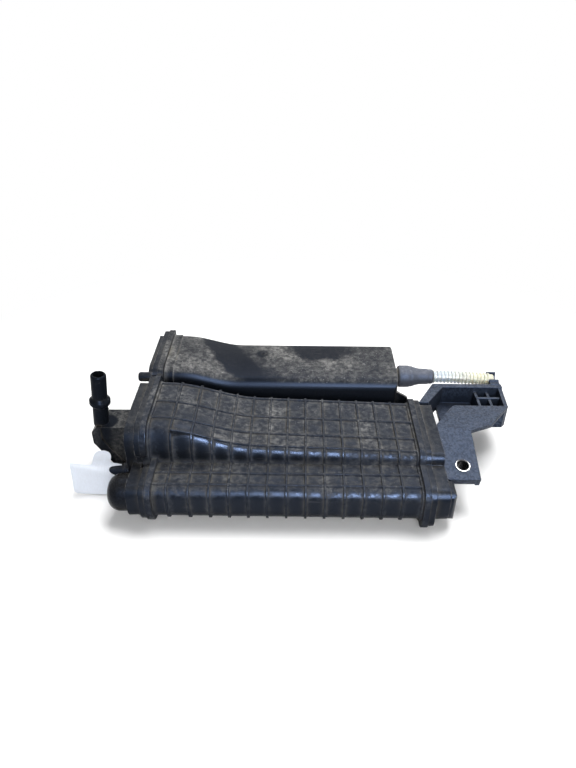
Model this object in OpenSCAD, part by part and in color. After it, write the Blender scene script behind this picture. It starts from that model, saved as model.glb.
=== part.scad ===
// Charcoal canister: three carbon chambers side by side, closed by a common left lid.
// Millimetres, +X along the chambers, +Y away from the viewer, +Z up, resting on its flanges.

/* [Body] */
// Distance between neighbouring cross ribs
rib_pitch = 14; // [12:0.5:18]
// Number of cells between cross ribs
rib_cells = 14; // [10:1:16]
// Width of every rib on the body
rib_w = 1.6; // [1.2:0.1:3]
// Height of every rib above the wall
rib_h = 1.3; // [0.8:0.1:2]
// Extra width from one cell to the next over the flare
cell_grow = 0.9; // [0:0.1:1.2]
// Wall thickness of every moulded shell
wall = 2.5; // [2:0.1:3.5]
// Room under the chambers, so that the flanges carry the canister
foot_h = 3; // [2:0.5:5]

/* [Main chamber] */
// Depth of the main chamber
main_d = 70; // [60:1:90]
// Height of the main chamber's top at the right end
main_h_right = 42.3; // [38:0.5:60]
// Fall of the main chamber's top per millimetre of length
main_fall = 0.036; // [0:0.004:0.05]
// Extra height of the main chamber at the left end
main_flare = 11.5; // [6:0.5:16]
// Edge radius of the main chamber
main_r = 6; // [3:0.5:7]
// Radius of the main chamber's upper front edge at the left end
left_r = 14; // [8:0.5:15]

/* [Front chamber] */
// Depth of the front chamber
front_d = 32; // [28:1:45]
// Height of the front chamber's top
front_h = 34; // [28:1:38]
// Radius of the front chamber's top edges
front_r = 8; // [4:0.5:10]
// Radius of the front chamber's lower front edge
front_low_r = 13; // [8:0.5:14]

/* [Rear chamber] */
// Gap between the main and the rear chamber
rear_gap = 10; // [8:0.5:16]
// Depth of the rear chamber
rear_d = 61; // [50:1:75]
// Rise of the rear chamber's top over the main chamber's right end
rear_rise = 12.7; // [6:0.1:16]
// Extra height of the rear chamber at the left end
rear_flare = 9; // [5:0.5:14]
// Length by which the rear chamber stops short of the right flange
rear_short = 10.8; // [8:0.2:30]
// Edge radius of the rear chamber
rear_r = 10; // [5:0.5:12]
// Radius of the rear chamber's upper back edge
rear_back_r = 3; // [2:0.5:6]
// Corner radius of the rear chamber's closed end, seen from above
end_r = 6; // [4:0.5:8]
// Length of the raised collar next to the rear chamber's flange
collar_len = 7; // [4:0.5:10]

/* [Flanges and lids] */
// Thickness of each welded flange
flange_t = 4.5; // [4:0.5:7]
// Reach of the flanges beyond the chamber walls
flange_out = 4.2; // [3:0.2:5]
// Step between a body's flange and its lid's flange
flange_step = 0.8; // [0.4:0.1:1.2]
// Length by which the front chamber's left flange sits further in
front_shift = 7; // [5:0.5:9]
// Depth of the left lid's main dish
lid_d = 8; // [7:0.5:12]
// Depth of the left lid's rear dish
lid_rear_d = 4.5; // [4:0.5:7]
// Depth of the left lid's front dish
lid_front_d = 10; // [7:0.5:12]
// Radius of the round lug between the main and the rear dish
lug_r = 4; // [3:0.2:4.6]
// Depth of the right lid's main dish
cap_d = 10.3; // [8:0.1:14]
// Depth of the right lid's front dish
cap_front_d = 15.6; // [14:0.1:20]
// Edge radius of the bulge on the right lid's front dish
bulge_r = 6; // [3:0.5:6.5]

/* [Ports] */
// Outer radius of the tank port's quick-connect nipple
nipple_r = 5.9; // [4.9:0.05:7.9]
// Height of the nipple above its cover
nipple_len = 46; // [36:1:52]
// Lean of the nipple towards the body, in degrees
nipple_lean = 6; // [0:0.5:8]
// Outer radius of the purge stub
purge_r = 5.9; // [4.9:0.05:6.5]
// Length of the purge stub beyond the left lid
purge_len = 30; // [24:1:36]
// Outer radius of the vent stub on the rear chamber
vent_r = 7; // [6:0.25:8]
// Depth of the vent stub's axis below the rear chamber's top
vent_drop = 12; // [11:0.5:16]
// Distance of the vent stub's axis from the rear chamber's front
vent_in = 28.2; // [24:0.2:34]
// Depth of the port cover, along Y
cover_d = 24; // [20:1:28]
// Distance of the port cover from the main chamber's front
cover_in = 24.5; // [20:0.5:30]
// Reach of the port cover beyond the left lid
cover_x = 31; // [28:1:36]
// Height of the port cover's top
cover_top = 47; // [42:1:52]

/* [Trim] */
// Diameter of the rubber bumper
bumper_dia = 28; // [24:0.5:29]
// Reach of the rubber bumper beyond the left lid
bumper_len = 16; // [12:0.5:18]
// Width of the paper tag
tag_w = 36; // [28:1:44]
// Thickness of the paper tag
tag_t = 0.5; // [0.4:0.1:0.8]

/* [Vent line] */
// Largest radius of the corrugated tube
tube_r = 5.6; // [5:0.1:6]
// Spacing of the tube's corrugations
tube_pitch = 3.2; // [2.6:0.1:4]
// Length of the tube from the boot to its end in the clip
tube_len = 52.5; // [44:0.5:53.5]
// Radius of the rubber boot's large end
boot_r = 9.6; // [9.2:0.1:11]
// Length of the rubber boot
boot_len = 31; // [28:1:36]

/* [Bracket] */
// Wall thickness of the bracket
bracket_t = 3.2; // [2.6:0.2:4]
// Reach of the bracket beyond the right lid
bracket_x = 66; // [60:1:74]
// Slope of the bolt plate, in degrees
plate_slope = 15.5; // [10:0.5:18]
// Distance of the bracket's crease from the main chamber's front
crease_in = 33.6; // [30:0.2:36]
// Length of the bolt plate along its slope
plate_len = 46; // [42:0.5:48]
// Width of the bolt plate
plate_w = 26; // [24:0.5:30]
// Distance of the bolt hole from the right lid
hole_out = 14.2; // [12:0.2:16]
// Distance of the bolt hole from the plate's low end
hole_inset = 12.1; // [11:0.1:16]
// Bore radius of the steel sleeve
sleeve_bore_r = 4.3; // [4.1:0.1:4.6]
// Outer radius of the steel sleeve
sleeve_r = 5.3; // [5:0.1:6]
// Length of the steel sleeve
sleeve_len = 12; // [9:0.5:14]

/* [Filling] */
// Thickness of the fleece pads
fleece_t = 4; // [3:0.5:6]
// Thickness of the pressure plates
plate_t = 4; // [3:0.5:5]
// Free room for the springs
spring_room = 16; // [14:1:20]
// Radius of the spring wire
wire_r = 0.8; // [0.6:0.1:1]
// Holes along each pressure plate
plate_holes = 5; // [3:1:6]

/* [Hidden] */
reach = 400;
over = 1;
round_fn = 32;
bore_fn = 48;
// Body length and the planes of its flanges
cells_l = rib_pitch * rib_cells;
wide_cells = 3;
function rib_x(i) = i * rib_pitch - cells_l / 2 - cell_grow * wider(max(0, wide_cells - i));
function wider(k) = k * (k + 1) / 2;
x_right = cells_l / 2 + rib_w / 2 + flange_t;
x_left = rib_x(0) - rib_w / 2 - flange_t;
x_front = x_left + front_shift;
// Planes of the lids
x_lid = x_left - flange_t;
x_lid_end = x_lid - lid_d;
x_lid_rear = x_lid - lid_rear_d;
x_lid_front = x_front - flange_t - lid_front_d;
x_cap = x_right + flange_t;
x_cap_end = x_cap + cap_d;
x_cap_front = x_cap + cap_front_d;
// Rear chamber
rear_h = main_h_right + rear_rise;
rear_y = main_d + rear_gap;
rear_back = rear_y + rear_d;
rear_end = x_right - rear_short;
seam_y = main_d + rear_gap / 2;
collar_h = 0.8;
// Mould gate on the rear chamber's top
gate_x = -23;
gate_y = rear_back - 16.5;
gate_r = 1.8;
gate_h = 0.7;
// Flare stations along X, shared by walls and ribs
flare_from = x_left + 16;
flare_main_to = flare_from + 67;
flare_rear_to = flare_from + 50;
flare_steps = 8;
// Lengthwise ribs of the main and the front chamber
main_rib_y = [main_d - 5, main_d * 0.58, main_d * 0.28];
shoulder_rib_y = main_r - 1;
front_rib_y = [-front_d * 0.38, front_r - front_d - 0.5];
// Sines of the planes that round the top edges, from nearly level to nearly upright
lean_sines = [0.28, 0.6, 0.8, 0.96];
room_sines = [0.6, 0.8];
// Length over which the left end's larger edge radius fades
edge_fade = 20;
// Height above the front chamber at which the main chamber's sloping shoulder ends
shoulder_low = 4;
function smooth(t) = t * t * (3 - 2 * t);
function blend(x, to) = 1 - smooth(min(1, max(0, (x - flare_from) / (to - flare_from))));
function main_top(x) = main_h_right + main_fall * (x_right - x) + main_flare * blend(x, flare_main_to);
function main_edge(x) = main_r + (left_r - main_r) * blend(x, flare_from + edge_fade);
function main_drop(x) = max(main_edge(x), main_top(x) - front_h - shoulder_low);
function oval_lift(a, b, lean) = norm([a * sin(lean), b * cos(lean)]) - a * sin(lean) - b * cos(lean);
function same(xs, r) = [for (x = xs) r];
function rear_top(x) = rear_h + rear_flare * blend(x, flare_rear_to);
function stations(to, end) = concat([x_left],
    [for (i = [0 : flare_steps]) flare_from + (to - flare_from) * i / flare_steps], [end]);
main_x = stations(flare_main_to, x_right);
rear_x = stations(flare_rear_to, rear_end);
// Filling: where each bed starts and stops
bed_from = x_left + fleece_t;
front_bed_from = x_front + fleece_t;
main_bed_to = x_right - spring_room - plate_t - fleece_t;
rear_bed_to = rear_end - wall - spring_room - plate_t - fleece_t;
// Inner faces of the chambers
main_in = [wall / 2, main_d - wall];
front_in = [-front_d + wall, -wall];
rear_in = [rear_y + wall, rear_back - wall];
floor_z = foot_h + wall;
// Room between pieces that slide past each other
fit_gap = 0.3;
flange_r = main_r + 2;
left_low_r = front_low_r + flange_out;
// Ledge in the left lid that keeps the fleece pads in
ledge = 1.5;
// Ports
cover_y = cover_in;
cover_z = 9;
nipple_x = x_lid_end - cover_x + nipple_r - 0.4;
nipple_y = cover_y + cover_d * 0.32;
nipple_bore_r = nipple_r - 1.5;
nipple_tip = 2;
// Locking bead of the nipple: height of its middle, reach, half its flat and half its foot
bead_z = 21.2;
bead_out = 2.1;
bead_flat = 1.5;
bead_foot = 4;
// Sloping corners of the port cover and the rim along its weld
nose_x = 4;
nose_z = 5;
slant_x = 15;
slant_z = 24;
rim_h = 0.6;
rim_x = 7;
rim_z = 3.5;
// Passage from the port cover into the main chamber, drawn in from the cover
passage_y = 5;
passage_z = 8;
purge_y = 9;
purge_z = 17;
purge_bore_r = purge_r - 1.6;
purge_bead_x = 4.5;
duct_r = 3.6;
duct_bore_r = duct_r - 1.4;
duct_x = x_left - duct_r - fit_gap;
duct_z = floor_z + ledge + duct_r - 1;
lug_reach = 3;
lug_round = 1.8;
bumper_y = -17.9;
bumper_z = 20;
peg_r = 5;
// Rubber left over the peg's end
bumper_cap = 3;
// Vent line
vent_y = rear_y + vent_in;
vent_z = rear_h - vent_drop;
vent_bore_r = vent_r - 2;
vent_len = boot_len * 0.62;
boot_x = rear_end + 3;
boot_end = boot_x + boot_len;
cuff_r = tube_r - 0.5;
wave_h = 1.1;
tube_from = boot_end - 9;
// Bracket
bracket_z = main_h_right;
trough_y = main_d - 4;
trough_d = 32;
trough_floor = bracket_z - 20;
bracket_end = x_cap_end + bracket_x;
crease_y = crease_in;
plate_right = x_cap_end + plate_w;
hole_y = hole_inset - plate_len;
hole_x = x_cap_end + hole_out;
boss_wall = 2.2;
sleeve_proud = 0.6;
plate_end_y = crease_y - plate_len * cos(plate_slope);
bulge_back = min(plate_end_y, 0) - 1.6;
// Clip that holds the tube's end, and how far the tube reaches into it
clip_len = 8;
clip_in = 4;
clip_from = tube_len - clip_in;
clip_wall = 2;
// Arm from the right lid to the trough's back wall
arm_x = x_cap + 1;
arm_w = 8;
arm_run = 16;
back_w = 5;
// Where the trough's floor and front wall start
trough_gap = 10;
trough_x = x_cap_end + 19;
// Lean of the trough's end wall, and its crossed ribs
end_lean = 2;
cross_x = [bracket_end - 24, bracket_end - 14];
cross_w = 2.2;
cross_drop = 5;
// Corner between the bolt plate and the trough
elbow_x = bracket_end - 22;
elbow_y = crease_y + 7;
post_y = crease_y + 6;
// Web between the rear chamber's closed end and the right flange
web_y = rear_y + 2;
web_low = foot_h + 8;
web_top = 43.5;
web_fall = 5.5;
web_x = x_right - 2;
// Step between the right lid's front dish and its bulge
bulge_step = 0.2;
// Centre of the whole canister, brought to the origin
tag_x = x_lid_end - purge_len - 14;
mid_x = (tag_x + bracket_end) / 2;
mid_y = (rear_back + flange_out - front_d - flange_out) / 2;

// Rounded rectangle in the YZ plane, as a flat shape with u along Y and v along Z
module round_rect(u0, v0, u1, v1, r) {
    translate([u0 + r, v0]) square([u1 - u0 - 2 * r, v1 - v0]);
    translate([u0, v0 + r]) square([u1 - u0, v1 - v0 - 2 * r]);
    for (u = [u0 + r, u1 - r], v = [v0 + r, v1 - r])
        translate([u, v]) circle(r, $fn = round_fn);
}

// The same with radii of its own for the upper front, the upper back and the lower corners
module top_rect(u0, v0, u1, v1, front, back, low) {
    intersection() {
        round_rect(u0, v0 - 2 * front, u1 + 2 * front, v1, front);
        round_rect(u0 - 2 * back, v0 - 2 * back, u1, v1, back);
        round_rect(u0, v0, u1, v1 + 2 * low, low);
    }
}

// Stands a flat YZ shape up and gives it length along X
module along_x(x0, x1) {
    translate([x0, 0, 0]) rotate([90, 0, 90]) linear_extrude(x1 - x0) children();
}

// Stands a flat XZ shape up and gives it depth along Y
module along_y(y0, y1) {
    translate([0, y1, 0]) rotate([90, 0, 0]) linear_extrude(y1 - y0) children();
}

// A flat XY shape between two heights
module slab_z(z0, z1) {
    translate([0, 0, z0]) linear_extrude(z1 - z0) children();
}

// A round bar along X
module bar_x(x0, x1, y, z, r) {
    translate([x0, y, z]) rotate([0, 90, 0]) cylinder(h = x1 - x0, r = r, $fn = bore_fn);
}

// Side view of the main chamber, lowered or raised by grow
module main_side(x0, x1, grow, base) {
    inner = [for (x = main_x) if (x > x0 && x < x1) x];
    xs = concat([x0], inner, [x1]);
    polygon(concat([[x1, base], [x0, base]], [for (x = xs) [x, main_top(x) + grow]]));
}

// Side view of the rear chamber, lowered or raised by grow
module rear_side(x0, x1, grow, base) {
    inner = [for (x = rear_x) if (x > x0 && x < x1) x];
    xs = concat([x0], inner, [x1]);
    polygon(concat([[x1, base], [x0, base]], [for (x = xs) [x, rear_top(x) + grow]]));
}

// Keeps what lies under a leaning surface that touches an oval edge, with its depth and height per station
module edge_cut(xs, tops, ins, drops, lean, inset) {
    n = len(xs) - 1;
    rotate([lean, 0, 0]) along_y(-reach, reach)
        polygon(concat([[xs[n], -reach], [xs[0], -reach]],
            [for (i = [0 : n]) [xs[i], cos(lean) * tops[i] + oval_lift(ins[i], drops[i], lean) - inset]]));
}

// Surfaces that together round one long top edge of a chamber
module edge_planes(xs, tops, ins, drops, inset) {
    intersection_for(s = lean_sines) edge_cut(xs, tops, ins, drops, asin(s), inset);
}

// Fewer surfaces for the edges of the rear chamber's room
module room_planes(xs, tops, rs) {
    intersection_for(s = room_sines) edge_cut(xs, tops, rs, rs, asin(s), 0);
}

// Outer skin of a chamber whose top follows tops along xs
module skin(xs, tops, y0, d, ins, drops, back_r, low_r) {
    n = len(xs) - 1;
    intersection() {
        along_y(y0, y0 + d)
            polygon(concat([[xs[n], foot_h], [xs[0], foot_h]], [for (i = [0 : n]) [xs[i], tops[i]]]));
        translate([0, y0, 0]) edge_planes(xs, tops, ins, drops, 0);
        translate([0, y0 + d, 0]) mirror([0, 1, 0])
            edge_planes(xs, tops, same(xs, back_r), same(xs, back_r), 0);
        along_x(xs[0], xs[n]) round_rect(y0, foot_h, y0 + d, reach, low_r);
    }
}

// Outer skin of the main chamber
module main_skin() {
    tops = [for (x = main_x) main_top(x)];
    ins = [for (x = main_x) main_edge(x)];
    drops = [for (x = main_x) main_drop(x)];
    skin(main_x, tops, 0, main_d, ins, drops, main_r, main_r);
}

// Outer skin of the rear chamber, with its closed end rounded
module rear_skin() {
    intersection() {
        skin(rear_x, [for (x = rear_x) rear_top(x)], rear_y, rear_d, same(rear_x, rear_r),
            same(rear_x, rear_r), rear_back_r, rear_r);
        slab_z(0, reach)
            round_rect(x_left - 4 * end_r, rear_y - over, rear_end, rear_back + over, end_r + over);
    }
}

// Flat outline of the main chamber's flange, drawn in by inset
module main_outline(top, back, inset) {
    round_rect(inset - flange_out, inset, back, top + flange_out - inset, flange_r);
}

// The same at the left end, where the front chamber's flange passes below it
module main_left_outline(inset) {
    top = main_top(x_left);
    low = front_h + flange_out + fit_gap;
    top_rect(inset - flange_out, low, seam_y, top + flange_out - inset, left_r + flange_out, main_r, main_r);
    translate([-wall / 2, inset]) square([seam_y + wall / 2, low + 2 * main_r - inset]);
}

// Flat outline of the front chamber's flange, drawn in by inset and ending at back
module front_outline(back, inset, low_r) {
    intersection() {
        round_rect(inset - front_d - flange_out, inset, back, front_h + flange_out - inset, front_r + 2);
        round_rect(inset - front_d - flange_out, inset, reach, reach, low_r);
    }
}

// Flat outline of the rear chamber's flange, drawn in by inset
module rear_outline(inset) {
    top = rear_top(x_left) + flange_out - inset;
    top_rect(seam_y, inset, rear_back + flange_out - inset, top, flange_r, rear_back_r + 1, flange_r);
}

// Cross-section of the front chamber, grown by grow, ending at back
module front_profile(grow, back) {
    intersection() {
        round_rect(-front_d - grow, foot_h - grow, back, front_h + grow, front_r);
        round_rect(-front_d - grow, foot_h - grow, reach, reach, front_low_r + grow);
    }
}

// Skin of the main chamber raised by the height of the ribs, between two planes
module main_raised(x0, x1) {
    tops = [for (x = main_x) main_top(x) + rib_h];
    ins = [for (x = main_x) main_edge(x)];
    drops = [for (x = main_x) main_drop(x)];
    intersection() {
        along_x(x0, x1) round_rect(-rib_h, foot_h - rib_h, main_d + rib_h, main_top(x0) + rib_h, main_r);
        translate([0, -rib_h, 0]) edge_planes(main_x, tops, ins, drops, 0);
    }
}

// Cross ribs and lengthwise ribs of the body
module body_ribs() {
    for (i = [0 : rib_cells]) {
        x = rib_x(i);
        main_raised(x - rib_w / 2, x + rib_w / 2);
        if (x > x_front + flange_t)
            along_x(x - rib_w / 2, x + rib_w / 2) front_profile(rib_h, front_r);
    }
    for (y = main_rib_y)
        along_y(y - rib_w / 2, y + rib_w / 2) main_side(x_left, x_right, rib_h, foot_h - rib_h);
    along_y(shoulder_rib_y - rib_w / 2, shoulder_rib_y + rib_w / 2)
        main_side(rib_x(1), x_right, rib_h, foot_h - rib_h);
    for (y = front_rib_y)
        along_y(y - rib_w / 2, y + rib_w / 2)
            translate([x_front, front_h / 2]) square([x_right - x_front, front_h / 2 + rib_h]);
}

// Room inside the main chamber, drawn back by gap from its walls
module main_room(x0, x1, gap) {
    xs = concat([x_left - 2 * over], main_x, [x_right + 2 * over]);
    tops = [for (x = xs) main_top(x)];
    ins = [for (x = xs) main_edge(x)];
    drops = [for (x = xs) main_drop(x)];
    intersection() {
        along_y(main_in[0] + gap, main_in[1] - gap) main_side(x0, x1, -wall - gap, floor_z + gap);
        edge_planes(xs, tops, ins, drops, wall + gap);
    }
}

// Room inside the front chamber
module front_room(x0, x1, gap) {
    along_x(x0, x1) intersection() {
        round_rect(front_in[0] + gap, floor_z + gap, front_in[1] - gap, front_h - wall - gap,
            front_r - wall);
        round_rect(front_in[0] + gap, floor_z + gap, reach, reach, front_low_r - wall);
    }
}

// Room inside the rear chamber
module rear_room(x0, x1, gap) {
    xs = concat([x_left - 2 * over], rear_x);
    tops = [for (x = xs) rear_top(x) - wall - gap];
    intersection() {
        along_y(rear_in[0] + gap, rear_in[1] - gap) rear_side(x0, x1, -wall - gap, floor_z + gap);
        translate([0, rear_in[0] + gap, 0]) room_planes(xs, tops, same(xs, rear_r - wall));
        translate([0, rear_in[1] - gap, 0]) mirror([0, 1, 0]) room_planes(xs, tops, same(xs, rear_r - wall));
    }
}

// Ribbed moulding with the main and the front chamber
module canister_body() {
    color([0.13, 0.13, 0.13]) difference() {
        union() {
            main_skin();
            along_x(x_front, x_right) front_profile(0, front_r);
            body_ribs();
            along_x(x_left, x_left + flange_t) main_left_outline(0);
            along_x(x_front, x_front + flange_t) front_outline(flange_out + front_r, 0, left_low_r);
            along_x(x_right - flange_t, x_right) {
                main_outline(main_h_right, main_d + flange_out, 0);
                front_outline(flange_out + front_r, 0, front_r + 2);
            }
        }
        main_room(x_left - over, x_right + over, 0);
        front_room(x_front - over, x_right + over, 0);
    }
}

// Smooth rear chamber with the vent stub on its closed end
module rear_chamber() {
    color([0.15, 0.15, 0.15]) difference() {
        union() {
            rear_skin();
            along_x(x_left, x_left + flange_t) rear_outline(0);
            along_x(x_left, x_left + flange_t + collar_len)
                top_rect(rear_y - collar_h, foot_h, rear_back + collar_h, rear_top(x_left) + collar_h,
                    rear_r, rear_back_r, rear_r);
            translate([gate_x, gate_y, rear_h - over])
                cylinder(h = over + gate_h, r = gate_r, $fn = bore_fn);
            along_y(web_y, web_y + wall)
                polygon([[rear_end - end_r, web_low], [rear_end - end_r, web_top], [rear_end, web_top],
                    [web_x, web_top - web_fall], [web_x, web_low]]);
            bar_x(rear_end - wall / 2, rear_end + vent_len, vent_y, vent_z, vent_r);
        }
        rear_room(x_left - over, rear_end - wall, 0);
        bar_x(rear_end - wall - over, rear_end + vent_len + over, vent_y, vent_z, vent_bore_r);
    }
}

// Round lug on the left lid, with a rounded end
module lug(z) {
    length = lid_d + lug_reach;
    translate([x_lid, seam_y, z]) rotate([0, -90, 0]) rotate_extrude($fn = bore_fn) {
        square([lug_r, length - lug_round]);
        square([lug_r - lug_round, length]);
        translate([lug_r - lug_round, length - lug_round]) circle(lug_round, $fn = round_fn);
    }
}

// Common left lid: three dishes, purge stub, bumper peg, crossing duct and lug
module left_lid() {
    top = main_top(x_left);
    front_back = -wall / 2 - fit_gap;
    color([0.12, 0.12, 0.12]) difference() {
        union() {
            along_x(x_lid, x_left) main_left_outline(flange_step);
            along_x(x_lid, x_left) rear_outline(flange_step);
            along_x(x_lid_end, x_lid) top_rect(0, foot_h, main_d, top, left_r, main_r, main_r);
            along_x(x_lid_front, x_left - fit_gap) front_profile(0, front_r);
            along_x(x_lid_front, x_front) front_profile(0, front_back);
            along_x(x_front - flange_t, x_front) front_outline(front_back, flange_step, left_low_r);
            along_x(x_lid_rear, x_lid) {
                top_rect(rear_y, foot_h, rear_back, rear_top(x_left), rear_r, rear_back_r, rear_r);
                round_rect(main_d - main_r, foot_h, rear_y + rear_r, duct_z + lid_d, main_r);
            }
            bar_x(x_lid_end - purge_len, x_lid, purge_y, purge_z, purge_r);
            bar_x(x_lid_end - purge_bead_x, x_lid_end - purge_bead_x + 2, purge_y, purge_z, purge_r + 2);
            bar_x(x_lid_front - bumper_len + bumper_cap, x_lid_front + wall, bumper_y, bumper_z, peg_r);
            lug(top);
        }
        difference() {
            along_x(x_lid_end + wall, x_left + over)
                top_rect(main_in[0] + ledge, floor_z + ledge, main_in[1] - ledge, top - wall - ledge,
                    left_r - wall, main_r - wall, main_r - wall);
            translate([duct_x, main_d, duct_z]) rotate([90, 0, 0])
                cylinder(h = main_d, r = duct_r, $fn = bore_fn);
        }
        along_x(x_lid_front + wall, x_front + over)
            round_rect(front_in[0] + ledge, floor_z + ledge, front_back - wall, front_h - wall - ledge,
                front_r - wall);
        along_x(x_lid_rear + wall, x_left + over)
            round_rect(rear_in[0] + ledge, floor_z + ledge, rear_in[1] - ledge,
                rear_top(x_left) - wall - ledge, rear_r - wall);
        translate([duct_x, rear_in[0] + ledge + over, duct_z]) rotate([90, 0, 0])
            cylinder(h = rear_in[0] + ledge - front_back + wall + 2 * over, r = duct_bore_r, $fn = bore_fn);
        bar_x(x_lid_end - purge_len - over, x_lid_end + wall + over, purge_y, purge_z, purge_bore_r);
        translate([x_lid_end - over, cover_y + passage_y, cover_z + passage_z])
            cube([wall + 2 * over, cover_d - 2 * passage_y, cover_top - cover_z - 2 * passage_z]);
    }
}

// Rounded bulge on the front dish of the right lid, drawn in by inset
module front_bulge(inset) {
    x1 = x_cap_front - inset;
    y0 = -front_d + bulge_step + inset;
    y1 = bulge_back - inset;
    z0 = foot_h + bulge_step + inset;
    z1 = front_h - bulge_step - inset;
    from = x_cap_end - 3 * bulge_r;
    r = bulge_r - inset;
    intersection() {
        along_x(x_cap_end - wall - over, x1) round_rect(y0, z0, y1, z1, front_r - inset);
        along_x(x_cap_end - wall - over, x1) round_rect(y0, z0, reach, reach, front_low_r - inset);
        along_y(y0, y1) round_rect(from, z0, x1, z1, r);
        slab_z(z0, z1) round_rect(from, y0, x1, y1, r);
    }
}

// Right lid, which turns the flow from the main into the front chamber
module right_lid() {
    color([0.12, 0.12, 0.12]) difference() {
        union() {
            along_x(x_right, x_cap) {
                main_outline(main_h_right, main_d + flange_out - flange_step, flange_step);
                front_outline(flange_out + front_r, flange_step, front_r + 2);
            }
            along_x(x_cap, x_cap_end) round_rect(0, foot_h, main_d, main_h_right, main_r);
            along_x(x_cap, x_cap_end) front_profile(0, front_r);
            front_bulge(0);
        }
        along_x(x_right - over, x_cap_end - wall)
            round_rect(main_in[0], floor_z, main_in[1], main_h_right - wall, main_r - wall);
        front_room(x_right - over, x_cap_end - wall, 0);
        front_bulge(wall);
        along_x(x_right + 4, x_cap_end - wall)
            translate([front_in[1] - wall, floor_z + front_r])
                square([front_d / 2, front_h - wall - floor_z - 2 * front_r]);
    }
}

// Side view of the port cover, drawn in by inset
module cover_side(inset, open) {
    x0 = x_lid_end - cover_x + inset;
    x1 = x_lid_end + (open ? over : 0);
    top = cover_top - inset;
    low = cover_z + inset;
    polygon([[x1, low], [x1, top], [x0 + nose_x, top], [x0, top - nose_z], [x0, low + slant_z],
        [x0 + slant_x, low]]);
}

// Nipple outline for the tank port: shaft, locking bead and rounded tip
module nipple_shape() {
    bead_r = nipple_r + bead_out;
    square([nipple_r, nipple_len - nipple_tip]);
    square([nipple_r - nipple_tip, nipple_len]);
    translate([nipple_r - nipple_tip, nipple_len - nipple_tip]) circle(nipple_tip, $fn = round_fn);
    polygon([[0, bead_z - bead_foot], [nipple_r, bead_z - bead_foot], [bead_r, bead_z - bead_flat],
        [bead_r, bead_z + bead_flat], [nipple_r, bead_z + bead_foot], [0, bead_z + bead_foot]]);
}

// Brings a shape into the leaning frame of the nipple
module on_nipple() {
    translate([nipple_x, nipple_y, cover_top - over]) rotate([0, nipple_lean, 0]) children();
}

// Welded cover that joins the tank port to the main chamber
module port_cover() {
    color([0.1, 0.1, 0.1]) difference() {
        union() {
            along_y(cover_y, cover_y + cover_d) cover_side(0, false);
            along_y(cover_y - over, cover_y + cover_d + over) difference() {
                cover_side(-rim_h, false);
                translate([rim_x, rim_z]) cover_side(-rim_h, true);
            }
            on_nipple() rotate_extrude($fn = bore_fn) nipple_shape();
        }
        along_y(cover_y + wall, cover_y + cover_d - wall) cover_side(wall, true);
        on_nipple() translate([0, 0, -wall - over])
            cylinder(h = nipple_len + wall + 3 * over, r = nipple_bore_r, $fn = bore_fn);
        translate([x_lid_end, cover_y - 2 * over, 0]) cube([over, cover_d + 4 * over, cover_top + 2 * over]);
    }
}

// Brings a shape into the tilted frame of the bolt plate
module on_plate() {
    translate([0, crease_y, bracket_z]) rotate([plate_slope, 0, 0]) children();
}

// Brings a shape into the frame of the tube, with z along it
module on_tube() {
    translate([boot_end, vent_y, vent_z]) rotate([0, 90, 0]) children();
}

// Cradle that holds the end of the tube, on the trough's back wall
module tube_clip(back) {
    on_tube() difference() {
        union() {
            translate([0, 0, clip_from]) cylinder(h = clip_len, r = cuff_r + clip_wall, $fn = bore_fn);
            translate([0, back - vent_y - over, clip_from])
                cube([vent_z - bracket_z + 2 * bracket_t, vent_y - back, clip_len]);
        }
        translate([-2 * boot_r, -2 * boot_r, 0])
            cube([2 * boot_r - over, 4 * boot_r, clip_from + clip_len + over]);
        translate([0, 0, clip_from - over]) cylinder(h = clip_len + 2 * over, r = cuff_r, $fn = bore_fn);
    }
}

// Open trough of the bracket, with the arm that leads to it and its crossed end ribs
module bracket_trough() {
    t = bracket_t;
    back = trough_y + trough_d;
    floor_x = x_cap_end + trough_gap;
    slab_z(trough_floor, trough_floor + t)
        polygon([[floor_x, trough_y + t], [floor_x, back - over], [bracket_end, back - over],
            [bracket_end - end_lean, trough_y], [trough_x, trough_y - over]]);
    slab_z(trough_floor, bracket_z) {
        polygon([[arm_x, main_d], [arm_x + arm_w, main_d], [arm_x + arm_run + arm_w, back - back_w],
            [arm_x + arm_run, back]]);
        polygon([[arm_x + arm_run, back], [arm_x + arm_run, back - back_w], [bracket_end, back - back_w],
            [bracket_end, back]]);
        polygon([[trough_x - t, trough_y - t], [trough_x, trough_y], [bracket_end - end_lean, trough_y],
            [bracket_end - end_lean - t, trough_y - t]]);
    }
    slab_z(trough_floor, bracket_z - over)
        polygon([[bracket_end - t, back - over], [bracket_end, back - over],
            [bracket_end - end_lean, trough_y], [bracket_end - end_lean - t, trough_y]]);
    for (x = cross_x)
        translate([x, trough_y - over, trough_floor])
            cube([cross_w, trough_d, bracket_z - trough_floor - cross_drop]);
    translate([cross_x[0], trough_y + trough_d / 2, trough_floor])
        cube([bracket_end - end_lean - cross_x[0], cross_w, bracket_z - trough_floor - cross_drop + over]);
    tube_clip(back);
}

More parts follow.
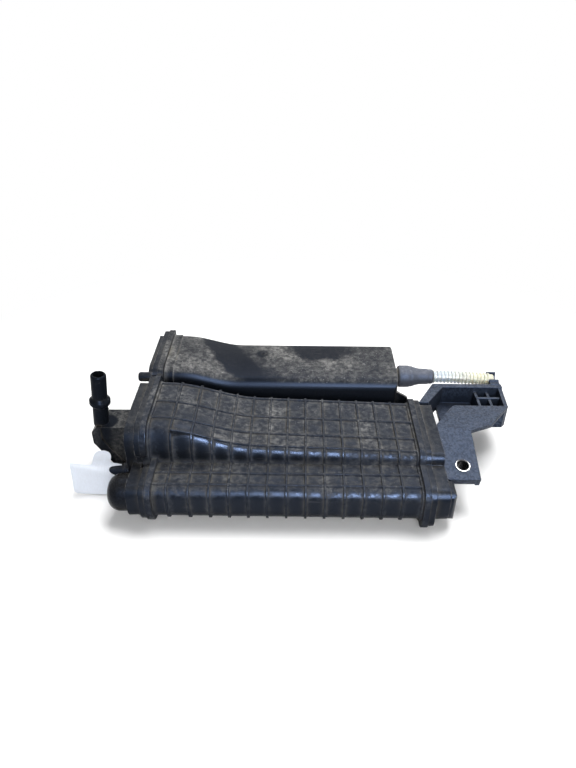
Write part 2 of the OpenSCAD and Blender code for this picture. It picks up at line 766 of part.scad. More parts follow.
// Bracket on the right lid, with a sloping bolt plate and a trough
module mounting_bracket() {
    t = bracket_t;
    color([0.28, 0.29, 0.31]) difference() {
        union() {
            bracket_trough();
            slab_z(bracket_z - t, bracket_z)
                polygon([[x_cap_end, crease_y - over], [x_cap_end, post_y], [trough_x - t, trough_y - t],
                    [trough_x, trough_y - over], [bracket_end - end_lean - over, trough_y - over],
                    [elbow_x, elbow_y], [plate_right, crease_y - over]]);
            translate([x_cap_end, main_r, foot_h + main_r])
                cube([t, post_y - main_r, bracket_z - foot_h - main_r]);
            on_plate() translate([x_cap_end, -plate_len, -t]) cube([plate_w, plate_len, t]);
            on_plate() translate([hole_x, hole_y, over - sleeve_len])
                cylinder(h = sleeve_len - over, r = sleeve_r + boss_wall, $fn = bore_fn);
            on_plate() translate([plate_right - t, -plate_len, -2.5 * t])
                cube([t, plate_len - 2 * over, 2.5 * t]);
            on_plate() translate([x_cap_end, -plate_len, -2 * t]) cube([plate_w, t, 2 * t]);
        }
        on_plate() translate([x_cap_end - over, -plate_len, 0])
            cube([plate_w + 2 * over, plate_len, bracket_z]);
        on_plate() translate([hole_x, hole_y, -sleeve_len])
            cylinder(h = sleeve_len + over, r = sleeve_r, $fn = bore_fn);
    }
}

// Steel sleeve that takes the bolt's clamping load
module bracket_sleeve() {
    color([0.75, 0.75, 0.76]) on_plate()
    translate([hole_x, hole_y, sleeve_proud - sleeve_len]) difference() {
        cylinder(h = sleeve_len, r = sleeve_r, $fn = bore_fn);
        translate([0, 0, -over]) cylinder(h = sleeve_len + 2 * over, r = sleeve_bore_r, $fn = bore_fn);
    }
}

// Rubber bumper on the left lid's peg
module end_bumper() {
    r = bumper_dia / 2;
    corner = bumper_len * 0.62;
    color([0.08, 0.07, 0.065])
    translate([x_lid_front, bumper_y, bumper_z]) rotate([0, -90, 0]) difference() {
        rotate_extrude($fn = bore_fn) {
            square([r, bumper_len - corner]);
            square([r - corner, bumper_len]);
            intersection() {
                translate([r - corner, bumper_len - corner]) circle(corner, $fn = bore_fn);
                square([r, bumper_len]);
            }
        }
        translate([0, 0, -over]) cylinder(h = bumper_len - bumper_cap + over, r = peg_r, $fn = bore_fn);
    }
}

// Grey rubber boot from the vent stub to the tube
module hose_boot() {
    step = rear_end + vent_len - boot_x;
    color([0.32, 0.33, 0.35]) translate([boot_x, vent_y, vent_z]) rotate([0, 90, 0])
        rotate_extrude($fn = bore_fn)
            polygon([[vent_r, 0], [boot_r - 0.6, 0], [boot_r, 0.6], [boot_r, boot_len * 0.36],
                [cuff_r + 1.4, boot_len * 0.92], [cuff_r + 1.4, boot_len], [cuff_r, boot_len],
                [cuff_r, step + 3], [vent_r, step]]);
}

// Outline of one corrugation, as steps of radius along the tube
function wave(z) = [[tube_r - wave_h, z], [tube_r - wave_h, z + tube_pitch * 0.3],
    [tube_r, z + tube_pitch * 0.45], [tube_r, z + tube_pitch * 0.85]];

// Corrugated tube with plain cuffs at both ends
module vent_tube() {
    bore = tube_r - 1.9;
    waves = floor((tube_len - clip_in - 3) / tube_pitch);
    inside = boot_end - tube_from;
    color([0.85, 0.83, 0.74]) on_tube() rotate_extrude($fn = bore_fn)
        polygon(concat([[bore, -inside], [cuff_r, -inside], [cuff_r, 0.4]],
            [for (i = [0 : waves - 1]) each wave(i * tube_pitch + 0.8)],
            [[cuff_r, waves * tube_pitch + 1.4], [cuff_r, tube_len], [bore, tube_len]]));
}

// Bare paper tag folded over the purge stub
module paper_tag() {
    r = purge_r + tag_t;
    front_low = 1;
    back_low = 9;
    color([0.95, 0.95, 0.94]) along_x(tag_x, tag_x + tag_w) {
        difference() {
            translate([purge_y, purge_z]) circle(r, $fn = bore_fn);
            translate([purge_y, purge_z]) circle(purge_r, $fn = bore_fn);
            translate([purge_y - 2 * r, purge_z - 2 * r]) square([4 * r, 2 * r]);
        }
        translate([purge_y - r, front_low]) square([tag_t, purge_z - front_low]);
        translate([purge_y + purge_r, back_low]) square([tag_t, purge_z - back_low]);
    }
}

// Carbon beds
module main_bed() {
    color([0.05, 0.05, 0.05]) main_room(bed_from, main_bed_to, 0);
}

module front_bed() {
    color([0.05, 0.05, 0.05]) front_room(front_bed_from, main_bed_to, 0);
}

module rear_bed() {
    color([0.05, 0.05, 0.05]) rear_room(bed_from, rear_bed_to, 0);
}

// Fleece pads that keep the granules in
module main_inlet_fleece() {
    color([0.8, 0.8, 0.75]) main_room(x_left, bed_from, 0);
}

module front_inlet_fleece() {
    color([0.8, 0.8, 0.75]) front_room(x_front, front_bed_from, 0);
}

module rear_inlet_fleece() {
    color([0.8, 0.8, 0.75]) rear_room(x_left, bed_from, 0);
}

module main_outlet_fleece() {
    color([0.8, 0.8, 0.75]) main_room(main_bed_to, main_bed_to + fleece_t, 0);
}

module front_outlet_fleece() {
    color([0.8, 0.8, 0.75]) front_room(main_bed_to, main_bed_to + fleece_t, 0);
}

module rear_outlet_fleece() {
    color([0.8, 0.8, 0.75]) rear_room(rear_bed_to, rear_bed_to + fleece_t, 0);
}

// Rows of gas holes through a pressure plate
module plate_grid(x, y0, y1, z0, z1, rows) {
    step_y = (y1 - y0) / plate_holes;
    step_z = (z1 - z0) / rows;
    for (i = [0 : plate_holes - 1], k = [0 : rows - 1])
        bar_x(x - over, x + plate_t + over, y0 + (i + 0.5) * step_y, z0 + (k + 0.5) * step_z,
            min(step_y, step_z) * 0.3);
}

// Perforated pressure plates
module main_plate() {
    x = main_bed_to + fleece_t;
    color([0.2, 0.2, 0.2]) difference() {
        main_room(x, x + plate_t, fit_gap);
        plate_grid(x, main_in[0], main_in[1], floor_z, main_h_right - wall, 3);
    }
}

module front_plate() {
    x = main_bed_to + fleece_t;
    color([0.2, 0.2, 0.2]) difference() {
        front_room(x, x + plate_t, fit_gap);
        plate_grid(x, front_in[0], front_in[1], floor_z, front_h - wall, plate_holes);
    }
}

module rear_plate() {
    x = rear_bed_to + fleece_t;
    color([0.2, 0.2, 0.2]) difference() {
        rear_room(x, x + plate_t, fit_gap);
        plate_grid(x, rear_in[0], rear_in[1], floor_z, rear_h - wall, 4);
    }
}

// Helical compression spring along X, resting on both its end planes
module spring(x0, x1, y, z, r, turns) {
    sides = 6;
    rings = turns * 16;
    run = x1 - x0 - 2 * wire_r;
    pts = [for (i = [0 : rings], k = [0 : sides - 1])
        let (a = 360 * turns * i / rings, b = 360 * k / sides, q = r + wire_r * cos(b))
            [x0 + wire_r + run * i / rings + wire_r * sin(b), y + q * cos(a), z + q * sin(a)]];
    walls = [for (i = [0 : rings - 1], k = [0 : sides - 1])
        let (next = (k + 1) % sides)
            [i * sides + k, i * sides + next, (i + 1) * sides + next, (i + 1) * sides + k]];
    near = [for (k = [0 : sides - 1]) sides - 1 - k];
    far = [for (k = [0 : sides - 1]) rings * sides + k];
    polyhedron(pts, concat(walls, [near], [far]), convexity = 10);
}

module main_springs() {
    color([0.6, 0.6, 0.62]) for (f = [0.29, 0.71])
        spring(x_right - spring_room, x_cap_end - wall, main_in[0] + (main_in[1] - main_in[0]) * f,
            (floor_z + main_h_right - wall) / 2, (main_in[1] - main_in[0]) * 0.19, 5);
}

module front_spring() {
    color([0.6, 0.6, 0.62]) spring(x_right - spring_room, x_cap_end - wall, (front_in[0] + front_in[1]) / 2,
        (floor_z + front_h - wall) / 2, (front_h - wall - floor_z) * 0.3, 5);
}

module rear_spring() {
    color([0.6, 0.6, 0.62]) spring(rear_end - wall - spring_room, rear_end - wall,
        (rear_in[0] + rear_in[1]) / 2, floor_z + rear_d * 0.27, rear_d * 0.2, 4);
}

// Every node, moved so that the whole canister stands centred on the origin
translate([-mid_x, -mid_y, 0]) {
    canister_body();
    rear_chamber();
    left_lid();
    right_lid();
    port_cover();
    mounting_bracket();
    bracket_sleeve();
    end_bumper();
    hose_boot();
    vent_tube();
    paper_tag();
    main_bed();
    front_bed();
    rear_bed();
    main_inlet_fleece();
    front_inlet_fleece();
    rear_inlet_fleece();
    main_outlet_fleece();
    front_outlet_fleece();
    rear_outlet_fleece();
    main_plate();
    front_plate();
    rear_plate();
    main_springs();
    front_spring();
    rear_spring();
}
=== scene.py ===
"""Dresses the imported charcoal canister: finishes, modelled soft pieces, studio and camera."""
import logging
import math
from dataclasses import dataclass, field
from enum import Enum
from typing import Iterable, Optional, Sequence, Union

import bmesh
import bpy
from mathutils import Matrix, Vector


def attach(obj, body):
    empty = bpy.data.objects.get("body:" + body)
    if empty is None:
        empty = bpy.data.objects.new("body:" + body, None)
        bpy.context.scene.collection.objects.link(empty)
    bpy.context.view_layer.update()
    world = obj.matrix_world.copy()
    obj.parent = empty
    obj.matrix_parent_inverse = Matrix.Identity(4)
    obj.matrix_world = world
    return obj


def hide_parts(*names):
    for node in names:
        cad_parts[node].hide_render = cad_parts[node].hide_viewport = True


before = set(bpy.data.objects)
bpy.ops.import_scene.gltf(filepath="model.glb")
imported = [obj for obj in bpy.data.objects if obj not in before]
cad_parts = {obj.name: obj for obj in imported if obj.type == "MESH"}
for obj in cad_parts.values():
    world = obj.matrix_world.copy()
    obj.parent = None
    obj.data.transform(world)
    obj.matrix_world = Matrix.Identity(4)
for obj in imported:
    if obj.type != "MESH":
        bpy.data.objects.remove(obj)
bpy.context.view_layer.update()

LOG = logging.getLogger("canister")
MM = 0.001
ROOT = "root"
FLOAT, VECTOR = "NodeSocketFloat", "NodeSocketVector"

Colour = tuple[float, float, float]
Rgba = tuple[float, float, float, float]
Point = tuple[float, float, float]
Socket = bpy.types.NodeSocket
Tree = bpy.types.NodeTree
SocketValue = Union[float, Sequence[float], Socket]
Inputs = dict[str, SocketValue]
WHITE: Rgba = (1.0, 1.0, 1.0, 1.0)


def opaque(colour: Colour, gain: float = 1.0) -> Rgba:
    """Multiplies a colour by the gain and gives it full alpha, as a colour socket takes it."""
    red, green, blue = (part * gain for part in colour)
    return red, green, blue, 1.0


class Dirt(Enum):
    """How much dust a surface has gathered."""

    HEAVY = 0.85
    MEDIUM = 0.55
    LIGHT = 0.24
    CLEAN = 0.12


class NodePen:
    """Writes nodes into one tree, with sockets given by name and links given as values."""

    def __init__(self, tree: Tree) -> None:
        """Clears the tree and starts on it."""
        self.tree = tree
        self.tree.nodes.clear()

    def add(self, kind: str, inputs: Optional[dict] = None, **settings: object) -> bpy.types.Node:
        """Adds one node.

        Args:
            kind: Blender's node type.
            inputs: socket name or index to a value or to another node's output.
            settings: plain attributes of the node.

        Returns:
            The new node.
        """
        node = self.tree.nodes.new(kind)
        for name, value in settings.items():
            setattr(node, name, value)
        for key, value in (inputs or {}).items():
            self.feed(node.inputs[key], value)
        return node

    def feed(self, socket: Socket, value: SocketValue) -> None:
        """Sets a socket, or links it where the value is an output.

        Args:
            socket: the input to fill.
            value: a number, a colour, a vector or an output socket.
        """
        if isinstance(value, Socket):
            self.tree.links.new(value, socket)
        else:
            socket.default_value = value

    def group(self, tree: Tree, inputs: Inputs) -> bpy.types.NodeOutputs:
        """Places a shared node group and gives its outputs, by name."""
        return self.add("ShaderNodeGroup", inputs, node_tree=tree).outputs

    def math(self, operation: str, a: SocketValue, b: SocketValue = 0.0, clamp: bool = False) -> Socket:
        """Adds a Math node and gives its result; clamp keeps it between 0 and 1."""
        node = self.add("ShaderNodeMath", {0: a, 1: b}, operation=operation, use_clamp=clamp)
        return node.outputs[0]

    def times(self, a: SocketValue, b: SocketValue, clamp: bool = False) -> Socket:
        """Multiplies two values."""
        return self.math("MULTIPLY", a, b, clamp)

    def plus(self, a: SocketValue, b: SocketValue, clamp: bool = False) -> Socket:
        """Adds two values."""
        return self.math("ADD", a, b, clamp)

    def vector(self, operation: str, a: SocketValue,
               b: SocketValue = (0.0, 0.0, 0.0)) -> bpy.types.NodeOutputs:
        """Adds a Vector Math node and gives its outputs, by name."""
        return self.add("ShaderNodeVectorMath", {0: a, 1: b}, operation=operation).outputs

    def ramp(self, value: SocketValue, low: float, high: float,
             to_low: float = 0.0, to_high: float = 1.0) -> Socket:
        """Maps a value from one range to another, with a smooth step.

        Args:
            value: the value to map.
            low: start of the source range.
            high: end of the source range.
            to_low: result at the start.
            to_high: result at the end.

        Returns:
            The mapped value's socket.
        """
        spans = {"From Min": low, "From Max": high, "To Min": to_low, "To Max": to_high}
        node = self.add("ShaderNodeMapRange", {"Value": value, **spans}, interpolation_type="SMOOTHSTEP")
        return node.outputs["Result"]

    def mix(self, mask: SocketValue, a: SocketValue, b: SocketValue) -> Socket:
        """Blends two colours by a mask: 0 shows a, 1 shows b."""
        node = self.add("ShaderNodeMix", {0: mask, 6: a, 7: b}, data_type="RGBA")
        return node.outputs[2]

    def noise(self, vector: SocketValue, scale: SocketValue,
              detail: float = 4.0, rough: float = 0.55) -> Socket:
        """Adds a noise pattern.

        Args:
            vector: coordinates of the pattern, in metres.
            scale: pattern cells per metre.
            detail: octaves.
            rough: weight of the fine octaves.

        Returns:
            The pattern's value socket.
        """
        node = self.add("ShaderNodeTexNoise",
                        {"Vector": vector, "Scale": scale, "Detail": detail, "Roughness": rough})
        return node.outputs["Fac"]


def new_group(name: str, inputs: dict[str, tuple[str, object]],
              outputs: Iterable[str]) -> tuple[NodePen, bpy.types.NodeOutputs]:
    """Starts a shader node group with named sockets.

    Args:
        name: the group's name.
        inputs: socket name to its type and default.
        outputs: names of the value sockets it puts out.

    Returns:
        The group's pen, and what the group is given.
    """
    tree = bpy.data.node_groups.new(name, "ShaderNodeTree")
    for label, (kind, default) in inputs.items():
        socket = tree.interface.new_socket(label, in_out="INPUT", socket_type=kind)
        if default is not None:
            socket.default_value = default
    for label in outputs:
        tree.interface.new_socket(label, in_out="OUTPUT", socket_type=FLOAT)
    pen = NodePen(tree)
    return pen, pen.add("NodeGroupInput").outputs


class Effects:
    """Surface effects that several finishes share, each built once as a node group.

    The spans below are what NodePen.ramp takes: from, to and, where they aren't 0 and 1, the results there.
    """

    LOOKS_UP = (0.58, 0.86)
    CLOUDS = (0.34, 0.68, 0.3, 1.0)
    FINE_DUST = (0.4, 0.62, 0.35, 1.1)
    CORNER_REACH = 5 * MM
    CORNERS = (0.55, 0.97, 0.85, 0.0)
    CORNER_LEAN = (-0.6, 0.5, 0.3, 0.8)
    SPECK_SIZE = 1100.0
    SPECKS = (0.66, 0.76)
    GRIME = (0.4, 0.62)
    ROUNDED = (0.995, 0.8)
    WORN = (0.42, 0.62)
    STREAK_TURN = (0.15, 0.1, 0.5)
    STREAK_SCALE = (30.0, 420.0, 420.0)
    STREAKS = (0.64, 0.74)
    STREAK_AREAS = (0.48, 0.62)

    def __init__(self) -> None:
        """Builds every group."""
        self.dust = self._dust()
        self.grain = self._grain()
        self.wear = self._wear()
        self.scuffs = self._scuffs()

    def _dust(self) -> Tree:
        """Draws dust that settles on faces that look up, in clouds and specks, and in corners.

        Returns:
            The group's tree.
        """
        pen, given = new_group("settled_dust", {
            "Vector": (VECTOR, None), "Amount": (FLOAT, 0.6), "Cloud Scale": (FLOAT, 22.0),
            "Speck Scale": (FLOAT, 300.0), "Side Film": (FLOAT, 0.15)}, ("Mask", "Specks", "Grime"))
        place, amount = given["Vector"], given["Amount"]
        normal = pen.add("ShaderNodeNewGeometry").outputs["Normal"]
        up = pen.add("ShaderNodeSeparateXYZ", {0: normal}).outputs["Z"]
        facing = pen.math("MAXIMUM", pen.ramp(up, *self.LOOKS_UP), given["Side Film"])
        cloud = pen.ramp(pen.noise(place, given["Cloud Scale"], 5.0, 0.6), *self.CLOUDS)
        fine = pen.ramp(pen.noise(place, given["Speck Scale"], 5.0, 0.75), *self.FINE_DUST)
        body = pen.times(pen.times(facing, cloud), fine)
        corner = pen.add("ShaderNodeAmbientOcclusion", {"Distance": self.CORNER_REACH}, samples=6)
        packed = pen.times(pen.ramp(corner.outputs["AO"], *self.CORNERS), pen.ramp(up, *self.CORNER_LEAN))
        mask = pen.times(pen.plus(body, packed), amount, clamp=True)
        speck = pen.ramp(pen.noise(place, self.SPECK_SIZE, 2.0, 0.6), *self.SPECKS)
        specks = pen.times(speck, pen.times(facing, amount))
        grime = pen.times(packed, pen.ramp(pen.noise(place, 45.0, 4.0), *self.GRIME), clamp=True)
        pen.add("NodeGroupOutput", {"Mask": mask, "Specks": specks, "Grime": grime})
        return pen.tree

    @staticmethod
    def _grain() -> Tree:
        """Draws moulded grain as a height, with slow waviness of the wall below it.

        Returns:
            The group's tree.
        """
        pen, given = new_group("moulded_grain", {
            "Vector": (VECTOR, None), "Scale": (FLOAT, 1400.0), "Wave": (FLOAT, 0.4)}, ("Height", "Tone"))
        place, scale = given["Vector"], given["Scale"]
        cells = pen.add("ShaderNodeTexVoronoi", {"Vector": place, "Scale": scale}, feature="SMOOTH_F1")
        fine = pen.noise(place, pen.times(scale, 1.7), 3.0)
        slow = pen.noise(place, 38.0, 2.0)
        height = pen.plus(pen.times(cells.outputs["Distance"], 0.6), pen.times(fine, 0.5))
        height = pen.plus(height, pen.times(slow, given["Wave"]))
        pen.add("NodeGroupOutput", {"Height": height, "Tone": fine})
        return pen.tree

    def _wear(self) -> Tree:
        """Marks rubbed edges: where a rounded normal departs from the face's own, broken up by noise.

        Returns:
            The group's tree.
        """
        pen, given = new_group("rubbed_edges", {
            "Vector": (VECTOR, None), "Amount": (FLOAT, 0.5), "Radius": (FLOAT, 1.0 * MM)}, ("Mask", "Edge"))
        soft = pen.add("ShaderNodeBevel", {"Radius": given["Radius"]}, samples=6)
        true = pen.add("ShaderNodeNewGeometry")
        same = pen.vector("DOT_PRODUCT", soft.outputs[0], true.outputs["Normal"])["Value"]
        edge = pen.ramp(same, *self.ROUNDED)
        broken = pen.ramp(pen.noise(given["Vector"], 180.0, 5.0, 0.65), *self.WORN)
        mask = pen.times(pen.times(edge, broken), given["Amount"], clamp=True)
        pen.add("NodeGroupOutput", {"Mask": mask, "Edge": edge})
        return pen.tree

    def _scuffs(self) -> Tree:
        """Draws thin rubbed streaks that run mostly one way, as a mask.

        Returns:
            The group's tree.
        """
        pen, given = new_group("scuff_streaks", {"Vector": (VECTOR, None), "Amount": (FLOAT, 0.3)}, ("Mask",))
        turned = pen.add("ShaderNodeMapping", {"Vector": given["Vector"], "Rotation": self.STREAK_TURN,
                                               "Scale": self.STREAK_SCALE})
        streak = pen.ramp(pen.noise(turned.outputs[0], 1.0, 3.0, 0.6), *self.STREAKS)
        area = pen.ramp(pen.noise(given["Vector"], 30.0, 2.0), *self.STREAK_AREAS)
        mask = pen.times(pen.times(streak, area), given["Amount"], clamp=True)
        pen.add("NodeGroupOutput", {"Mask": mask})
        return pen.tree


@dataclass(frozen=True)
class WipedPatch:
    """An oval where dust was wiped off, with a ragged edge."""

    centre: tuple[float, float]
    radii: tuple[float, float]
    turn: float = 0.0
    keep: float = 0.15
    ragged: float = 0.5
    soft: float = 0.2

    def fade(self, pen: NodePen, place: Socket) -> Socket:
        """Gives the share of dust that is left.

        Args:
            pen: the material's pen.
            place: object coordinates.

        Returns:
            A value that is 1 away from the patch and keep inside it.
        """
        moved = pen.vector("SUBTRACT", place, (*self.centre, 0.0))[0]
        spun = pen.add("ShaderNodeVectorRotate", {"Vector": moved, "Angle": self.turn},
                       rotation_type="Z_AXIS")
        shrink = (1.0 / self.radii[0], 1.0 / self.radii[1], 0.0)
        flat = pen.vector("MULTIPLY", spun.outputs[0], shrink)[0]
        reach = pen.vector("LENGTH", flat)["Value"]
        torn = pen.times(pen.math("SUBTRACT", pen.noise(place, 90.0, 5.0, 0.65), 0.5), self.ragged)
        return pen.ramp(pen.plus(reach, torn), 1.0 - self.soft, 1.0 + 0.2 * self.soft, self.keep, 1.0)


@dataclass(frozen=True)
class Finish:
    """A look from which one material is built."""

    name: str

    def build(self, effects: Effects) -> bpy.types.Material:
        """Makes the material.

        Args:
            effects: the shared node groups.

        Returns:
            The finished material.
        """
        material = bpy.data.materials.new(self.name)
        material.use_nodes = True
        pen = NodePen(material.node_tree)
        place = pen.add("ShaderNodeTexCoord").outputs["Object"]
        surface = pen.add("ShaderNodeBsdfPrincipled", self.surface(pen, place, effects))
        pen.add("ShaderNodeOutputMaterial", {"Surface": surface.outputs[0]})
        return material

    def surface(self, pen: NodePen, place: Socket, effects: Effects) -> Inputs:
        """Draws the look, as what the Principled shader takes; each kind of finish has its own."""
        raise NotImplementedError


@dataclass(frozen=True)
class MouldedFinish(Finish):
    """A moulded plastic or rubber surface with grain, dust, scuffs and rubbed edges."""

    base: Colour
    dust: Colour
    dust_amount: Dirt
    rough_clean: float
    rough_dusty: float
    # Grain, and how far it changes the base colour.
    grain_scale: float = 1400.0
    grain_depth: float = 0.12 * MM
    wave: float = 0.5
    contrast: float = 0.3
    # Rubbed edges and streaks, and how far an edge sheds its dust; on ribs that clearing also paints shade as
    # dark lines at each rib's foot.
    edge_amount: float = 0.35
    edge_tone: Colour = (0.16, 0.16, 0.16)
    edge_radius: float = 0.9 * MM
    edge_clean_and_rib_shade: float = 0.0
    scuff_amount: float = 0.25
    # Gloss; dull_at is the dust under which the surface is fully rough.
    specular: float = 0.5
    sheen: Colour = (0.42, 0.59, 1.0)
    dull_at: float = 0.7
    # Dust: on upright faces, in clouds and mottles, as specks and as brown grime in corners.
    side_film: float = 0.12
    film_right: float = 0.0
    cloud_scale: float = 22.0
    mottle: float = 0.2
    mottle_scale: float = 230.0
    speck_amount: float = 0.5
    grime: Colour = (0.085, 0.074, 0.05)
    # Size of a cell between ribs, where one rib stands, and how deep a hollow is that gets painted shade.
    cell: Optional[tuple[float, float]] = None
    rib_at: float = -9.45 * MM
    painted_shade_depth: float = 0.0
    wiped: tuple[WipedPatch, ...] = ()

    GRAIN_TONES = (0.42, 0.58)
    MOTTLES = (0.36, 0.64)
    SHADED_HOLLOWS = (0.25, 0.8, 0.08, 1.0)
    CELL_DUST = (0.0, 1.0, 0.45, 0.78)
    RIB_RIM = (0.25, 0.5)
    LOW_BAND = (13 * MM, 5 * MM)
    FRONT_SHOULDER = (27 * MM, 32 * MM)
    FRONT_CHAMBER = (-54 * MM, -60 * MM)
    RIGHT_PART = (-15 * MM, 45 * MM)
    UPPER_PART = (20 * MM, 34 * MM)

    def surface(self, pen: NodePen, place: Socket, effects: Effects) -> Inputs:
        """Draws base, dust, grime, scuffs, rubbed edges and specks over each other, and painted shade in deep
        hollows.

        Args:
            pen: the material's pen.
            place: object coordinates.
            effects: the shared node groups.

        Returns:
            What the Principled shader's inputs take.
        """
        dust = pen.group(effects.dust, {
            "Vector": place, "Amount": self._dust_amount(pen, place), "Cloud Scale": self.cloud_scale,
            "Side Film": self._side_film(pen, place)})
        grain = pen.group(effects.grain, {"Vector": place, "Scale": self.grain_scale, "Wave": self.wave})
        wear = pen.group(effects.wear,
                         {"Vector": place, "Amount": self.edge_amount, "Radius": self.edge_radius})
        scuff = pen.group(effects.scuffs, {"Vector": place, "Amount": self.scuff_amount})
        tone = pen.mix(pen.ramp(grain["Tone"], *self.GRAIN_TONES),
                       opaque(self.base, 1.0 - self.contrast), opaque(self.base, 1.0 + self.contrast))
        # Edges shed dust: real clean rib tops, and painted shade as dark lines at the foot of each rib.
        bare = pen.math("SUBTRACT", 1.0, pen.times(wear["Edge"], self.edge_clean_and_rib_shade), clamp=True)
        film = pen.mix(pen.ramp(pen.noise(place, self.mottle_scale), *self.MOTTLES),
                       opaque(self.dust, 1.0 - self.mottle), opaque(self.dust, 1.0 + self.mottle))
        tone = pen.mix(pen.times(dust["Mask"], bare), tone, film)
        tone = pen.mix(pen.times(dust["Grime"], 0.8), tone, opaque(self.grime))
        for rubbed in (scuff["Mask"], wear["Mask"]):
            tone = pen.mix(rubbed, tone, opaque(self.edge_tone))
        pale = tuple(min(1.0, part * 2.2 + 0.12) for part in self.dust) + (1.0,)
        tone = pen.mix(pen.times(dust["Specks"], self.speck_amount * 2.0, clamp=True), tone, pale)
        # Painted shade: deep hollows, such as the bracket's trough, are darkened towards a fifth of the base
        # colour by ambient occlusion.
        if self.painted_shade_depth > 0.0:
            deep = pen.add("ShaderNodeAmbientOcclusion", {"Distance": self.painted_shade_depth}, samples=8)
            tone = pen.mix(pen.ramp(deep.outputs["AO"], *self.SHADED_HOLLOWS), opaque(self.base, 0.2), tone)
        rough = pen.ramp(dust["Mask"], 0.0, self.dull_at, self.rough_clean, self.rough_dusty)
        rough = pen.plus(rough, pen.times(grain["Tone"], 0.12), clamp=True)
        soft = pen.add("ShaderNodeBevel", {"Radius": self.edge_radius}, samples=6)
        bump = pen.add("ShaderNodeBump", {"Strength": 0.6, "Distance": self.grain_depth,
                                          "Height": grain["Height"], "Normal": soft.outputs[0]})
        return {"Base Color": tone, "Roughness": rough, "Normal": bump.outputs[0],
                "Specular IOR Level": self.specular, "Specular Tint": opaque(self.sheen)}

    def _side_film(self, pen: NodePen, place: Socket) -> SocketValue:
        """Gives the film on upright faces: dust beside ribs, on the front shoulder and at the right, and a
        paler, duller band low down.

        Args:
            pen: the material's pen.
            place: object coordinates.

        Returns:
            A number, or a socket where the finish has ribs.
        """
        if self.cell is None:
            return self.side_film
        split = pen.add("ShaderNodeSeparateXYZ", {0: place}).outputs
        along = pen.math("SUBTRACT", split["X"], self.rib_at)
        turn = pen.math("FRACT", pen.math("DIVIDE", along, self.cell[0]))
        middle = pen.math("ABSOLUTE", pen.math("SUBTRACT", turn, 0.5))
        torn = pen.times(pen.math("SUBTRACT", pen.noise(place, 150.0, 4.0), 0.5), 0.35)
        rim = pen.ramp(pen.plus(middle, torn), *self.RIB_RIM)
        # Paler and duller towards the bottom of upright faces.
        low = pen.ramp(pen.plus(split["Z"], pen.times(torn, 20 * MM)), *self.LOW_BAND)
        film = pen.times(pen.math("MAXIMUM", rim, low), 0.42)
        right = pen.plus(split["X"], pen.times(torn, 60 * MM))
        right = pen.ramp(right, *self.RIGHT_PART, 0.0, self.film_right)
        film = pen.math("MAXIMUM", film, pen.times(right, pen.ramp(split["Z"], *self.UPPER_PART)))
        high = pen.plus(split["Z"], pen.times(torn, 14 * MM))
        high = pen.times(pen.ramp(high, *self.FRONT_SHOULDER), pen.ramp(split["Y"], *self.FRONT_CHAMBER))
        return pen.plus(pen.math("MAXIMUM", film, pen.times(high, 0.7)), self.side_film)

    def _dust_amount(self, pen: NodePen, place: Socket) -> SocketValue:
        """Gives the dust's amount, uneven from cell to cell and thinned where patches were wiped.

        Args:
            pen: the material's pen.
            place: object coordinates.

        Returns:
            A number, or a socket where the finish has ribs or wiped patches.
        """
        left: SocketValue = self.dust_amount.value
        if self.cell is not None:
            steps = pen.vector("SNAP", place, (*self.cell, 1.0))[0]
            even = pen.add("ShaderNodeTexWhiteNoise", {"Vector": steps}).outputs["Value"]
            left = pen.times(pen.ramp(even, *self.CELL_DUST), left)
        for patch in self.wiped:
            left = pen.times(patch.fade(pen, place), left)
        return left


@dataclass(frozen=True)
class MetalFinish(Finish):
    """Plated steel with fine turning lines and a little tarnish."""

    base: Colour
    tarnish: Colour
    roughness: float
    # Centre and radius of a bore whose inside is painted near black as shade.
    bore: Optional[Point] = None

    RUBBED = (0.8, 0.8, 0.8, 1.0)
    HOLLOW_SHADE = (0.01, 0.01, 0.011, 1.0)
    BORE_SHADE = (0.012, 0.012, 0.013, 1.0)
    TURNING = (60.0, 60.0, 2600.0)

    def surface(self, pen: NodePen, place: Socket, effects: Effects) -> Inputs:
        """Draws tarnish spots, rubbed edges, painted shade in hollows and in the bore, and turning lines.

        Args:
            pen: the material's pen.
            place: object coordinates.
            effects: the shared node groups.

        Returns:
            What the Principled shader's inputs take.
        """
        spots = pen.ramp(pen.noise(place, 320.0, 5.0, 0.65), 0.45, 0.7)
        tone = pen.mix(spots, opaque(self.base), opaque(self.tarnish))
        wear = pen.group(effects.wear, {"Vector": place, "Amount": 0.6, "Radius": 0.4 * MM})
        tone = pen.mix(wear["Mask"], tone, self.RUBBED)
        # Painted shade: hollows are darkened by ambient occlusion.
        deep = pen.add("ShaderNodeAmbientOcclusion", {"Distance": 9 * MM}, samples=8)
        tone = pen.mix(pen.ramp(deep.outputs["AO"], 0.62, 0.95), self.HOLLOW_SHADE, tone)
        # Painted shade: the inside of the bore is painted near black.
        if self.bore is not None:
            x, y, radius = self.bore
            off = pen.vector("SUBTRACT", place, (x, y, 0.0))[0]
            level = pen.vector("MULTIPLY", off, (1.0, 1.0, 0.0))[0]
            reach = pen.vector("LENGTH", level)["Value"]
            tone = pen.mix(pen.ramp(reach, radius, radius + 0.4 * MM), self.BORE_SHADE, tone)
        lines = pen.add("ShaderNodeMapping", {"Vector": place, "Scale": self.TURNING})
        turned = pen.noise(lines.outputs[0], 1.0, 2.0)
        bump = pen.add("ShaderNodeBump", {"Strength": 0.3, "Distance": 0.05 * MM, "Height": turned})
        rough = pen.plus(self.roughness, pen.times(spots, 0.2), clamp=True)
        return {"Base Color": tone, "Metallic": 1.0, "Roughness": rough, "Normal": bump.outputs[0]}


